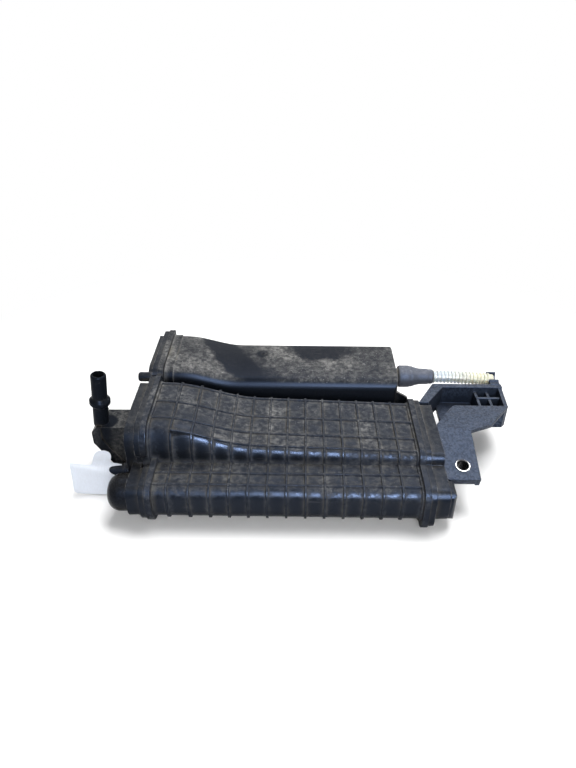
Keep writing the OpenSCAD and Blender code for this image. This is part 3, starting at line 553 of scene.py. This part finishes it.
@dataclass(frozen=True)
class CloudyFinish(Finish):
    """Thin cloudy plastic that lets light through, yellowed towards one end and dusty in its grooves."""

    base: Colour
    stain: Colour
    roughness: float
    through: float
    aged: Colour
    aged_from: float
    aged_to: float

    SCATTER = (2 * MM, 1.6 * MM, 1.1 * MM)

    def surface(self, pen: NodePen, place: Socket, effects: Effects) -> Inputs:
        """Draws the yellowing, the blotches and the dirt in the grooves.

        Args:
            pen: the material's pen.
            place: object coordinates.
            effects: the shared node groups.

        Returns:
            What the Principled shader's inputs take.
        """
        blotch = pen.ramp(pen.noise(place, 60.0, 4.0, 0.6), 0.4, 0.68)
        groove = pen.add("ShaderNodeAmbientOcclusion", {"Distance": 2.5 * MM}, samples=6)
        deep = pen.ramp(groove.outputs["AO"], 0.3, 0.9, 0.6, 0.0)
        dirt = pen.plus(deep, pen.times(blotch, 0.45), clamp=True)
        along = pen.add("ShaderNodeSeparateXYZ", {0: place}).outputs["X"]
        clear = pen.mix(pen.ramp(along, self.aged_from, self.aged_to), opaque(self.base), opaque(self.aged))
        tone = pen.mix(dirt, clear, opaque(self.stain))
        grain = pen.group(effects.grain, {"Vector": place, "Scale": 900.0, "Wave": 0.3})
        bump = pen.add("ShaderNodeBump", {"Strength": 0.4, "Distance": 0.06 * MM, "Height": grain["Height"]})
        rough = pen.plus(self.roughness, pen.times(blotch, 0.2), clamp=True)
        return {"Base Color": tone, "Roughness": rough, "Normal": bump.outputs[0],
                "Subsurface Weight": self.through, "Subsurface Radius": self.SCATTER, "Subsurface Scale": 1.0}


@dataclass(frozen=True)
class FibreFinish(Finish):
    """Paper or fleece: fibres, soft blotches and a matt surface."""

    base: Colour
    fibre: Colour
    scale: float
    depth: float

    SOILED = (0.3, 0.27, 0.23, 1.0)
    LAY = (0.3, 0.2, 0.8)

    def surface(self, pen: NodePen, place: Socket, effects: Effects) -> Inputs:
        """Draws the fibres, the blotches and a little dust.

        Args:
            pen: the material's pen.
            place: object coordinates.
            effects: the shared node groups.

        Returns:
            What the Principled shader's inputs take.
        """
        spun = pen.add("ShaderNodeMapping", {"Vector": place, "Rotation": self.LAY,
                                             "Scale": (self.scale, self.scale * 0.18, self.scale * 0.4)})
        fibres = pen.noise(spun.outputs[0], 1.0, 5.0, 0.65)
        blotch = pen.ramp(pen.noise(place, 70.0, 3.0), 0.35, 0.7)
        mask = pen.plus(pen.times(pen.ramp(fibres, 0.4, 0.66), 0.6), pen.times(blotch, 0.35), clamp=True)
        dust = pen.group(effects.dust, {"Vector": place, "Amount": 0.15})
        tone = pen.mix(mask, opaque(self.base), opaque(self.fibre))
        tone = pen.mix(dust["Mask"], tone, self.SOILED)
        rough = pen.ramp(fibres, 0.3, 0.7, 0.8, 0.95)
        bump = pen.add("ShaderNodeBump", {"Strength": 0.5, "Distance": self.depth, "Height": fibres})
        return {"Base Color": tone, "Roughness": rough, "Normal": bump.outputs[0]}


DUST = (0.144, 0.142, 0.136)
BLACK = (0.0065, 0.008, 0.0115)
FINISHES: tuple[Finish, ...] = (
    MouldedFinish("ribbed_plastic", BLACK, DUST, Dirt.HEAVY, 0.18, 0.75, side_film=0.01, film_right=0.5,
                  cloud_scale=34.0, specular=0.125, dull_at=0.21, edge_amount=0.15, edge_clean_and_rib_shade=0.85,
                  mottle=0.5, cell=(14 * MM, 21 * MM), wiped=(
                      WipedPatch((-10 * MM, -74 * MM), (240 * MM, 20 * MM), 0.0, 0.6, 0.2, 0.3),
                      WipedPatch((-97 * MM, -35 * MM), (34 * MM, 22 * MM), 0.0, 0.5, 0.8, 0.5))),
    MouldedFinish("rear_plastic", BLACK, (0.158, 0.156, 0.15), Dirt.HEAVY, 0.3, 0.62, side_film=0.02,
                  specular=0.05, mottle=0.3, wiped=(
                      WipedPatch((-61.0 * MM, 63.1 * MM), (17 * MM, 66 * MM), -0.591, 0.05, 0.7, 0.3),
                      WipedPatch((-40 * MM, 46 * MM), (22 * MM, 44 * MM), -0.591, 0.3, 2.2, 0.5),
                      WipedPatch((18 * MM, 81 * MM), (31 * MM, 24 * MM), 0.0, 0.06, 0.9, 0.25),
                      WipedPatch((-33 * MM, 70 * MM), (6.5 * MM, 7 * MM), 0.0, 0.15, 0.5, 0.4))),
    MouldedFinish("lid_plastic", BLACK, DUST, Dirt.LIGHT, 0.24, 0.6, side_film=0.06, specular=0.09,
                  edge_amount=0.85, edge_tone=(0.2, 0.2, 0.2)),
    MouldedFinish("port_plastic", BLACK, DUST, Dirt.HEAVY, 0.24, 0.5, side_film=0.55, specular=0.02,
                  wiped=(WipedPatch((-154 * MM, -22.3 * MM), (12 * MM, 10 * MM), 0.0, 0.0, 0.2),)),
    # The bracket's trough gets painted shade from the hollow depth given below.
    MouldedFinish("bracket_plastic", (0.0115, 0.015, 0.022), (0.115, 0.122, 0.138), Dirt.LIGHT, 0.45, 0.62,
                  grain_scale=330.0, grain_depth=0.5 * MM, side_film=0.1, contrast=0.95, speck_amount=1.0,
                  specular=0.26, painted_shade_depth=34 * MM),
    MetalFinish("sleeve_steel", (0.66, 0.66, 0.65), (0.42, 0.4, 0.36), 0.25,
                bore=(122.85 * MM, -53.5 * MM, 4.8 * MM)),
    MouldedFinish("bumper_rubber", (0.006, 0.006, 0.006), (0.05, 0.046, 0.042), Dirt.LIGHT, 0.2, 0.6,
                  grain_scale=700.0, grain_depth=0.3 * MM, side_film=0.04, specular=0.1),
    MouldedFinish("boot_rubber", (0.07, 0.075, 0.09), (0.19, 0.19, 0.2), Dirt.MEDIUM, 0.5, 0.7,
                  side_film=0.3, specular=0.18),
    CloudyFinish("tube_plastic", (0.49, 0.56, 0.62), (0.26, 0.25, 0.21), 0.3, 0.5,
                 (0.68, 0.66, 0.5), 125 * MM, 160 * MM),
    FibreFinish("tag_paper", (0.61, 0.66, 0.75), (0.57, 0.61, 0.69), 900.0, 0.05 * MM),
    MouldedFinish("carbon", (0.01, 0.01, 0.01), (0.05, 0.05, 0.05), Dirt.LIGHT, 0.6, 0.8, grain_scale=420.0,
                  grain_depth=0.9 * MM),
    FibreFinish("fleece", (0.7, 0.69, 0.66), (0.55, 0.54, 0.5), 700.0, 0.2 * MM),
    MouldedFinish("plate_plastic", (0.02, 0.02, 0.02), DUST, Dirt.CLEAN, 0.4, 0.6),
    MetalFinish("spring_steel", (0.5, 0.5, 0.5), (0.35, 0.32, 0.3), 0.32),
)

OUTER_SLOTS: dict[str, str] = {
    "canister_body": "ribbed_plastic", "rear_chamber": "rear_plastic", "left_lid": "lid_plastic",
    "right_lid": "lid_plastic", "port_cover": "port_plastic", "mounting_bracket": "bracket_plastic",
    "bracket_sleeve": "sleeve_steel", "end_bumper": "bumper_rubber", "hose_boot": "boot_rubber",
    "vent_tube": "tube_plastic", "paper_tag": "tag_paper",
}
INNER_SLOTS: dict[str, str] = {
    f"{chamber}_{part}": slot
    for part, slot in (("bed", "carbon"), ("inlet_fleece", "fleece"), ("outlet_fleece", "fleece"),
                       ("plate", "plate_plastic"))
    for chamber in ("main", "front", "rear")
} | dict.fromkeys(("main_springs", "front_spring", "rear_spring"), "spring_steel")


class Wardrobe:
    """Keeps one material per finish and hands it out by slot name."""

    def __init__(self) -> None:
        """Builds the shared effects and every material."""
        effects = Effects()
        self._materials = {finish.name: finish.build(effects) for finish in FINISHES}

    def material(self, slot: str) -> bpy.types.Material:
        """Gives the material of a slot that the record names."""
        return self._materials[slot]


def add_object(name: str, mesh: bpy.types.Mesh) -> bpy.types.Object:
    """Puts a mesh in the scene.

    Args:
        name: the object's name.
        mesh: its mesh, already in the row frame.

    Returns:
        The new object.
    """
    piece = bpy.data.objects.new(name, mesh)
    bpy.context.scene.collection.objects.link(piece)
    return piece


def settle(piece: bpy.types.Object, slot: str, wardrobe: Wardrobe,
           nodes: Iterable[str] = ()) -> bpy.types.Object:
    """Gives a new piece its finish, its body and the nodes it stands for.

    Args:
        piece: the piece, at the origin and unturned.
        slot: the record's slot name.
        wardrobe: where the materials are kept.
        nodes: CAD nodes that it replaces.

    Returns:
        The piece.
    """
    piece.data.materials.clear()
    piece.data.materials.append(wardrobe.material(slot))
    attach(piece, ROOT)
    names = list(nodes)
    if names:
        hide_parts(*names)
    return piece


@dataclass
class SmoothCopy:
    """A welded, smooth-shaded copy of one CAD node, with its hard edges kept crisp."""

    node: str
    crease: float = 32.0
    weld: float = 0.002 * MM

    def build(self, wardrobe: Wardrobe) -> bpy.types.Object:
        """Makes the copy and lets it stand for the node.

        Args:
            wardrobe: where the materials are kept.

        Returns:
            The new piece.
        """
        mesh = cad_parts[self.node].data.copy()
        mesh.name = self.node + "_shell"
        work = bmesh.new()
        work.from_mesh(mesh)
        bmesh.ops.remove_doubles(work, verts=work.verts, dist=self.weld)
        bmesh.ops.dissolve_limit(work, angle_limit=math.radians(0.2), verts=work.verts, edges=work.edges)
        limit = math.radians(self.crease)
        for face in work.faces:
            face.smooth = True
        for edge in work.edges:
            edge.smooth = len(edge.link_faces) == 2 and edge.calc_face_angle(0.0) < limit
        work.to_mesh(mesh)
        work.free()
        for name in ("custom_normal", "sharp_face"):
            if name in mesh.attributes:
                mesh.attributes.remove(mesh.attributes[name])
        piece = add_object(self.node + "_shell", mesh)
        return settle(piece, OUTER_SLOTS[self.node], wardrobe, [self.node])


class GeometryRecipe:
    """A Geometry Nodes tree with named inputs that is run once and turned into a plain mesh."""

    def __init__(self, name: str, inputs: dict[str, tuple[str, object]]) -> None:
        """Makes the empty tree.

        Args:
            name: the tree's name.
            inputs: socket name to its type and value.
        """
        self.name = name
        self.values = {label: value for label, (_, value) in inputs.items()}
        self.tree = bpy.data.node_groups.new(name, "GeometryNodeTree")
        new_socket = self.tree.interface.new_socket
        new_socket("Geometry", in_out="OUTPUT", socket_type="NodeSocketGeometry")
        self.sockets = {label: new_socket(label, in_out="INPUT", socket_type=kind).identifier
                        for label, (kind, _) in inputs.items()}
        self.pen = NodePen(self.tree)
        self.given = self.pen.add("NodeGroupInput").outputs

    def run(self, shape: Socket) -> bpy.types.Mesh:
        """Ends the tree with this shape, runs it and keeps the result.

        Args:
            shape: the geometry to hand out.

        Returns:
            A plain mesh, in the row frame.
        """
        real = self.pen.add("GeometryNodeRealizeInstances", {"Geometry": shape})
        smooth = self.pen.add("GeometryNodeSetShadeSmooth",
                              {"Geometry": real.outputs[0], "Shade Smooth": True})
        coated = self.pen.add("GeometryNodeSetMaterial",
                              {"Geometry": smooth.outputs[0], "Material": self.given["Material"]})
        self.pen.add("NodeGroupOutput", {"Geometry": coated.outputs[0]})
        holder = add_object(self.name + "_holder", bpy.data.meshes.new(self.name + "_holder"))
        recipe = holder.modifiers.new(self.name, "NODES")
        recipe.node_group = self.tree
        for label, value in self.values.items():
            recipe[self.sockets[label]] = value
        ready = holder.evaluated_get(bpy.context.evaluated_depsgraph_get())
        mesh = bpy.data.meshes.new_from_object(ready)
        holder.modifiers.remove(recipe)
        bpy.data.objects.remove(holder)
        mesh.name = self.name
        return mesh


@dataclass
class CorrugatedTube:
    """Corrugated vent tube that sags a little between the boot and its clip."""

    start: Point = (109.0 * MM, 53.7 * MM, 43.0 * MM)
    middle: Point = (141.0 * MM, 53.7 * MM, 43.2 * MM)
    end: Point = (169.5 * MM, 53.7 * MM, 40.4 * MM)
    rings: int = 16
    ring_from: float = 0.15
    ring_to: float = 0.93
    core: float = 4.6 * MM
    bore: float = 3.7 * MM
    crest: float = 4.75 * MM
    wire: float = 0.85 * MM
    sides: int = 40
    wire_sides: int = 10
    steps: int = 24

    def build(self, wardrobe: Wardrobe) -> bpy.types.Object:
        """Draws the tube and lets it stand for its CAD node.

        Args:
            wardrobe: where the materials are kept.

        Returns:
            The new piece.
        """
        recipe = GeometryRecipe("corrugated_tube", {
            "Start": (VECTOR, self.start), "Middle": (VECTOR, self.middle), "End": (VECTOR, self.end),
            "Rings": ("NodeSocketInt", self.rings),
            "Ring From": (FLOAT, self.ring_from), "Ring To": (FLOAT, self.ring_to),
            "Core Radius": (FLOAT, self.core), "Bore Radius": (FLOAT, self.bore),
            "Crest Radius": (FLOAT, self.crest), "Wire Radius": (FLOAT, self.wire),
            "Material": ("NodeSocketMaterial", wardrobe.material("tube_plastic"))})
        pen, given = recipe.pen, recipe.given
        ends = {label: given[label] for label in ("Start", "Middle", "End")}
        line = pen.add("GeometryNodeCurveQuadraticBezier", {"Resolution": self.steps, **ends})
        walls = [self._sweep(pen, line.outputs[0], given[label], self.sides)
                 for label in ("Core Radius", "Bore Radius")]
        inner = pen.add("GeometryNodeFlipFaces", {"Mesh": walls[1]})
        wavy = pen.add("GeometryNodeTrimCurve", {"Curve": line.outputs[0]}, mode="FACTOR")
        for index, label in ((2, "Ring From"), (3, "Ring To")):
            pen.feed(wavy.inputs[index], given[label])
        crests = self._rings(pen, wavy.outputs[0], given["Rings"],
                             given["Crest Radius"], given["Wire Radius"])
        half = pen.times(pen.math("SUBTRACT", given["Core Radius"], given["Bore Radius"]), 0.5)
        middle = pen.plus(given["Bore Radius"], half)
        lips = self._rings(pen, line.outputs[0], 2, middle, half)
        joined = pen.add("GeometryNodeJoinGeometry")
        for shape in (walls[0], inner.outputs[0], crests, lips):
            pen.tree.links.new(shape, joined.inputs[0])
        piece = add_object("vent_tube_wavy", recipe.run(joined.outputs[0]))
        return settle(piece, "tube_plastic", wardrobe, ["vent_tube"])

    @staticmethod
    def _circle(pen: NodePen, radius: SocketValue, sides: int) -> Socket:
        """Draws a circle with so many corners."""
        sizes = {"Resolution": sides, "Radius": radius}
        return pen.add("GeometryNodeCurvePrimitiveCircle", sizes, mode="RADIUS").outputs[0]

    def _sweep(self, pen: NodePen, line: Socket, radius: SocketValue, sides: int) -> Socket:
        """Sweeps a circle along a line.

        Args:
            pen: the tree's pen.
            line: the curve to follow.
            radius: the circle's radius.
            sides: corners of the circle.

        Returns:
            The swept mesh.
        """
        circle = self._circle(pen, radius, sides)
        swept = pen.add("GeometryNodeCurveToMesh", {"Curve": line, "Profile Curve": circle})
        return swept.outputs[0]

    def _rings(self, pen: NodePen, line: Socket, count: SocketValue, radius: SocketValue,
               wire: SocketValue) -> Socket:
        """Sets rings square to a line, evenly spaced.

        Args:
            pen: the tree's pen.
            line: the curve to follow.
            count: how many rings.
            radius: from the line to the middle of the ring's wire.
            wire: the wire's radius.

        Returns:
            The rings, as instances.
        """
        ring = self._sweep(pen, self._circle(pen, radius, self.sides), wire, self.wire_sides)
        points = pen.add("GeometryNodeCurveToPoints", {"Curve": line, "Count": count}, mode="COUNT")
        placed = pen.add("GeometryNodeInstanceOnPoints", {
            "Points": points.outputs["Points"], "Instance": ring, "Rotation": points.outputs["Rotation"]})
        return placed.outputs[0]


@dataclass
class PaperTag:
    """Bare paper tag: a leaning flag, bent over the purge stub, with a narrow tail standing up behind it."""

    left: float = -176.2 * MM
    right: float = -138.0 * MM
    tail_from: float = -161.5 * MM
    tail_to: float = -147.5 * MM
    stub_y: float = -45.5 * MM
    stub_z: float = 17.0 * MM
    bend: float = 6.4 * MM
    tilt: float = 0.36
    pivot: float = 0.66
    curl: float = 0.4 * MM
    corner: float = 2.6 * MM
    foot: float = 0.8 * MM
    slack: float = 3.2 * MM
    full_tilt_at: float = 22 * MM
    lowest: float = 0.4 * MM
    narrow_from: float = 0.9
    tail_rise: float = 11 * MM
    tail_turn: float = 1.05
    # How the slack eases, the turns over which each side narrows, and the rounding of the tail's end.
    slack_power: float = 1.6
    narrow_over: float = 0.25
    tail_narrow_over: float = 0.2
    tail_round: float = 0.4
    across: int = 20
    front_steps: int = 17
    bend_steps: int = 14
    tail_steps: int = 12

    def build(self, wardrobe: Wardrobe) -> bpy.types.Object:
        """Bends the sheet and lets it stand for its CAD node.

        Args:
            wardrobe: where the materials are kept.

        Returns:
            The new piece.
        """
        path = self._path()
        run = [0.0]
        for a, b in zip(path, path[1:]):
            run.append(run[-1] + math.dist(a[:2], b[:2]))
        points: list[Point] = []
        hinge = self.left + self.pivot * (self.right - self.left)
        for step, (y, z, flag, cover, lean) in enumerate(path):
            low = self.tail_from + (self.left - self.tail_from) * flag
            high = self.tail_to + (self.right - self.tail_to) * cover
            corner = self.corner if step < len(path) / 2 else self.tail_round * (high - low)
            short = max(0.0, corner - min(run[step], run[-1] - run[step]))
            inset = corner - math.sqrt(max(0.0, corner ** 2 - short ** 2))
            for i in range(self.across + 1):
                t = i / self.across
                x = low + inset + (high - low - 2 * inset) * t
                curl = self.curl * math.sin(math.pi * t) * lean
                fall = self.tilt * (x - hinge) * min(1.0, z / self.full_tilt_at) * lean
                points.append((x, y - curl, max(self.lowest, z - fall)))
        wide = self.across + 1
        faces = [(r * wide + i, r * wide + i + 1, (r + 1) * wide + i + 1, (r + 1) * wide + i)
                 for r in range(len(path) - 1) for i in range(self.across)]
        mesh = bpy.data.meshes.new("paper_tag_bent")
        mesh.from_pydata(points, [], faces)
        mesh.shade_smooth()
        piece = settle(add_object("paper_tag_bent", mesh), "tag_paper", wardrobe, ["paper_tag"])
        return piece

    def _path(self) -> list[tuple[float, float, float, float, float]]:
        """Gives the sheet's side view, from the flag's low edge to the tail's end.

        Returns:
            Y, Z, the flag's share of its full width on the left and on the right, and the share of its tilt.
        """
        front = [(self.stub_y - self.bend - self.slack * (1 - t) ** self.slack_power,
                  self.foot + (self.stub_z - self.foot) * t, 1.0, 1.0, 1.0)
                 for t in (i / self.front_steps for i in range(self.front_steps + 1))]
        over = [(self.stub_y - self.bend * math.cos(a), self.stub_z + self.bend * math.sin(a),
                 min(1.0, max(0.0, 1.0 - (a - self.narrow_from) / self.narrow_over)), 1.0, math.cos(a))
                for a in (math.pi / 2 * i / self.bend_steps for i in range(1, self.bend_steps + 1))]
        rise = self.tail_rise
        tail = [(self.stub_y + rise * math.sin(a), self.stub_z + self.bend + rise * (1 - math.cos(a)), 0.0,
                 max(0.0, 1.0 - a / self.tail_narrow_over), 0.0)
                for a in (self.tail_turn * i / self.tail_steps for i in range(1, self.tail_steps + 1))]
        return front + over + tail


@dataclass
class RidgedBoot:
    """Grey rubber boot: a barrel over the stub, a groove and slope, and a neck with a lip over the tube."""

    start: float = 86.05 * MM
    length: float = 31.0 * MM
    axis: tuple[float, float] = (53.7 * MM, 43.0 * MM)
    sides: int = 56
    # Outlines as shares of the length and radii in millimetres.
    outside: Sequence[tuple[float, float]] = (
        (0.0, 8.3), (0.015, 9.1), (0.05, 9.6), (0.29, 9.6), (0.32, 9.3), (0.345, 8.9), (0.37, 9.1),
        (0.41, 8.8), (0.47, 8.1), (0.53, 7.6), (0.6, 7.15), (0.7, 6.95), (0.82, 6.8), (0.85, 6.65),
        (0.87, 6.3), (0.895, 6.55), (0.95, 6.5), (0.985, 6.1), (1.0, 5.6))
    inside: Sequence[tuple[float, float]] = ((1.0, 5.1), (0.62, 5.1), (0.523, 7.0), (0.0, 7.0))

    def build(self, wardrobe: Wardrobe) -> bpy.types.Object:
        """Turns the outline round the vent's axis and lets it stand for its CAD node.

        Args:
            wardrobe: where the materials are kept.

        Returns:
            The new piece.
        """
        outline = [*self.outside, *self.inside]
        turns = [2 * math.pi * i / self.sides for i in range(self.sides)]
        points = [(self.start + share * self.length, self.axis[0] + radius * MM * math.cos(turn),
                   self.axis[1] + radius * MM * math.sin(turn))
                  for share, radius in outline for turn in turns]
        faces = []
        for row in range(len(outline)):
            here, after = row * self.sides, (row + 1) % len(outline) * self.sides
            for i in range(self.sides):
                j = (i + 1) % self.sides
                faces.append((here + i, here + j, after + j, after + i))
        mesh = bpy.data.meshes.new("hose_boot_ridged")
        mesh.from_pydata(points, [], faces)
        mesh.shade_smooth()
        return settle(add_object("hose_boot_ridged", mesh), "boot_rubber", wardrobe, ["hose_boot"])


Modelled = Union[PaperTag, RidgedBoot, CorrugatedTube]


@dataclass
class SubAssembly:
    """Pieces that belong together: smoothed CAD nodes and pieces that are modelled here."""

    nodes: Sequence[str] = ()
    modelled: Sequence[Modelled] = ()

    def build(self, wardrobe: Wardrobe) -> list[bpy.types.Object]:
        """Builds the smoothed nodes and then the modelled pieces."""
        makers = [*(SmoothCopy(node) for node in self.nodes), *self.modelled]
        return [maker.build(wardrobe) for maker in makers]


@dataclass
class CanisterShell(SubAssembly):
    """The moulded outside: chambers, lids, port cover and the tag on the purge stub."""

    nodes: Sequence[str] = ("canister_body", "rear_chamber", "left_lid", "right_lid", "port_cover")
    modelled: Sequence[Modelled] = (PaperTag(),)


@dataclass
class BracketSet(SubAssembly):
    """The bolt-on bracket, its steel sleeve, and the rubber bumper."""

    nodes: Sequence[str] = ("mounting_bracket", "bracket_sleeve", "end_bumper")


@dataclass
class VentLine(SubAssembly):
    """Rubber boot and corrugated tube at the rear chamber's closed end."""

    modelled: Sequence[Modelled] = (RidgedBoot(), CorrugatedTube())


@dataclass
class Filling:
    """Everything inside the chambers: it keeps its CAD form and only takes a finish."""

    slots: dict[str, str] = field(default_factory=lambda: INNER_SLOTS)

    def dress(self, wardrobe: Wardrobe) -> list[str]:
        """Gives the nodes their finish.

        Args:
            wardrobe: where the materials are kept.

        Returns:
            The names of the nodes.
        """
        for node, slot in self.slots.items():
            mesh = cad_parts[node].data
            mesh.materials.clear()
            mesh.materials.append(wardrobe.material(slot))
        return list(self.slots)


class LightRole(Enum):
    """What a softbox is for: all light, a card that only shows in gloss, or a fill that never does."""

    FULL = "full"
    CARD = "card"
    FILL = "fill"


@dataclass(frozen=True)
class SoftBox:
    """One rectangular studio light that looks at a point."""

    name: str
    place: Point
    target: Point
    size: tuple[float, float]
    power: float
    role: LightRole = LightRole.FULL
    colour: Colour = (1.0, 1.0, 1.0)

    def build(self) -> bpy.types.Object:
        """Makes the light.

        Returns:
            The light's object.
        """
        lamp = bpy.data.lights.new(self.name, "AREA")
        lamp.shape = "RECTANGLE"
        lamp.size, lamp.size_y = self.size
        lamp.energy = self.power
        lamp.color = self.colour
        light = bpy.data.objects.new(self.name, lamp)
        light.visible_diffuse = self.role is not LightRole.CARD
        light.visible_glossy = self.role is not LightRole.FILL
        bpy.context.scene.collection.objects.link(light)
        aim = (Vector(self.target) - Vector(self.place)).to_track_quat("-Z", "Y")
        light.matrix_world = Matrix.Translation(self.place) @ aim.to_matrix().to_4x4()
        return light


@dataclass
class Studio:
    """Floor, world, lights and the camera that matches the photograph."""

    floor_size: float = 12.0
    shadow_from: float = 0.2
    shadow_to: float = 0.42
    world_level: float = 0.14
    floor_tones: tuple[float, float] = (0.93, 0.95)
    eye: Point = (-0.003, -0.42063, 0.35329)
    pitch: float = 0.5934
    yaw: float = 0.0158
    roll: float = 0.0022
    lens: float = 30.0
    lights: Sequence[SoftBox] = field(default_factory=lambda: (
        SoftBox("key", (0.32, 0.55, 1.45), (0.0, 0.03, 0.0), (1.3, 1.0), 42.0),
        SoftBox("window", (0.23, -1.32, 0.9), (0.0, 0.0, 0.04), (0.3, 0.95), 165.0, LightRole.CARD),
        SoftBox("fill", (-0.1, -1.3, 0.7), (0.0, 0.0, 0.04), (1.4, 0.8), 13.0, LightRole.FILL),
        SoftBox("side", (1.5, -0.2, 0.9), (0.0, 0.0, 0.03), (0.7, 0.7), 3.0),
    ))

    def build(self) -> None:
        """Builds the whole studio."""
        self._world()
        self._floor()
        for light in self.lights:
            light.build()
        self._camera()
        bpy.context.scene.view_settings.view_transform = "Standard"

    @staticmethod
    def _shown(pen: NodePen) -> Socket:
        """Marks the rays that show the white background: seen straight, in gloss or through glass.

        Args:
            pen: the world's or the floor's pen.

        Returns:
            The socket that is 1 on such a ray.
        """
        path = pen.add("ShaderNodeLightPath").outputs
        mirrored = pen.math("MAXIMUM", path["Is Glossy Ray"], path["Is Transmission Ray"])
        return pen.math("MAXIMUM", path["Is Camera Ray"], mirrored)

    def _world(self) -> None:
        """Makes a plain world that shows as white and lights softly."""
        world = bpy.data.worlds.new("studio_world")
        bpy.context.scene.world = world
        world.use_nodes = True
        pen = NodePen(world.node_tree)
        seen = self._shown(pen)
        soft = pen.add("ShaderNodeBackground", {"Color": WHITE, "Strength": self.world_level})
        white = pen.add("ShaderNodeBackground", {"Color": WHITE, "Strength": 1.0})
        both = pen.add("ShaderNodeMixShader", {0: seen, 1: soft.outputs[0], 2: white.outputs[0]})
        pen.add("ShaderNodeOutputWorld", {"Surface": both.outputs[0]})

    def _floor(self) -> None:
        """Makes a pale matt floor that keeps the shadow near the part and shows as white farther off."""
        half = self.floor_size / 2
        mesh = bpy.data.meshes.new("studio_floor")
        corners = [(-half, -half, 0), (half, -half, 0), (half, half, 0), (-half, half, 0)]
        mesh.from_pydata(corners, [], [(0, 1, 2, 3)])
        floor = add_object("studio_floor", mesh)
        material = bpy.data.materials.new("studio_floor")
        material.use_nodes = True
        pen = NodePen(material.node_tree)
        place = pen.add("ShaderNodeTexCoord").outputs["Object"]
        tone = pen.mix(pen.noise(place, 6.0), *((level, level, level, 1.0) for level in self.floor_tones))
        matt = pen.add("ShaderNodeBsdfDiffuse", {"Color": tone})
        paper = pen.add("ShaderNodeEmission", {"Color": WHITE, "Strength": 1.0})
        away = pen.vector("LENGTH", place)["Value"]
        far = pen.times(pen.ramp(away, self.shadow_from, self.shadow_to), self._shown(pen))
        both = pen.add("ShaderNodeMixShader", {0: far, 1: matt.outputs[0], 2: paper.outputs[0]})
        pen.add("ShaderNodeOutputMaterial", {"Surface": both.outputs[0]})
        mesh.materials.append(material)

    def _camera(self) -> None:
        """Makes the camera, from the angles fitted to the photograph."""
        up = Vector((0.0, 0.0, 1.0))
        right = Vector((math.cos(self.yaw), math.sin(self.yaw), 0.0))
        level = Vector((-math.sin(self.yaw), math.cos(self.yaw), 0.0))
        look = level * math.cos(self.pitch) - up * math.sin(self.pitch)
        rise = level * math.sin(self.pitch) + up * math.cos(self.pitch)
        side = right * math.cos(self.roll) + rise * math.sin(self.roll)
        top = rise * math.cos(self.roll) - right * math.sin(self.roll)
        turn = Matrix((side, top, -look)).transposed().to_4x4()
        data = bpy.data.cameras.new("photo_camera")
        data.lens = self.lens
        data.sensor_width = 36.0
        data.clip_start = 0.01
        camera = bpy.data.objects.new("photo_camera", data)
        bpy.context.scene.collection.objects.link(camera)
        camera.matrix_world = Matrix.Translation(self.eye) @ turn
        bpy.context.scene.camera = camera


def main() -> None:
    """Dresses the canister and sets up the studio."""
    logging.basicConfig(level=logging.INFO)
    wardrobe = Wardrobe()
    pieces: list[bpy.types.Object] = []
    for assembly in (CanisterShell(), BracketSet(), VentLine()):
        pieces += assembly.build(wardrobe)
    dressed = Filling().dress(wardrobe)
    Studio().build()
    for piece in pieces:
        LOG.info("%s: built, %d faces", piece.name, len(piece.data.polygons))
    for node in dressed:
        LOG.info("%s: dressed as it is", node)


if __name__ == "__main__":
    main()
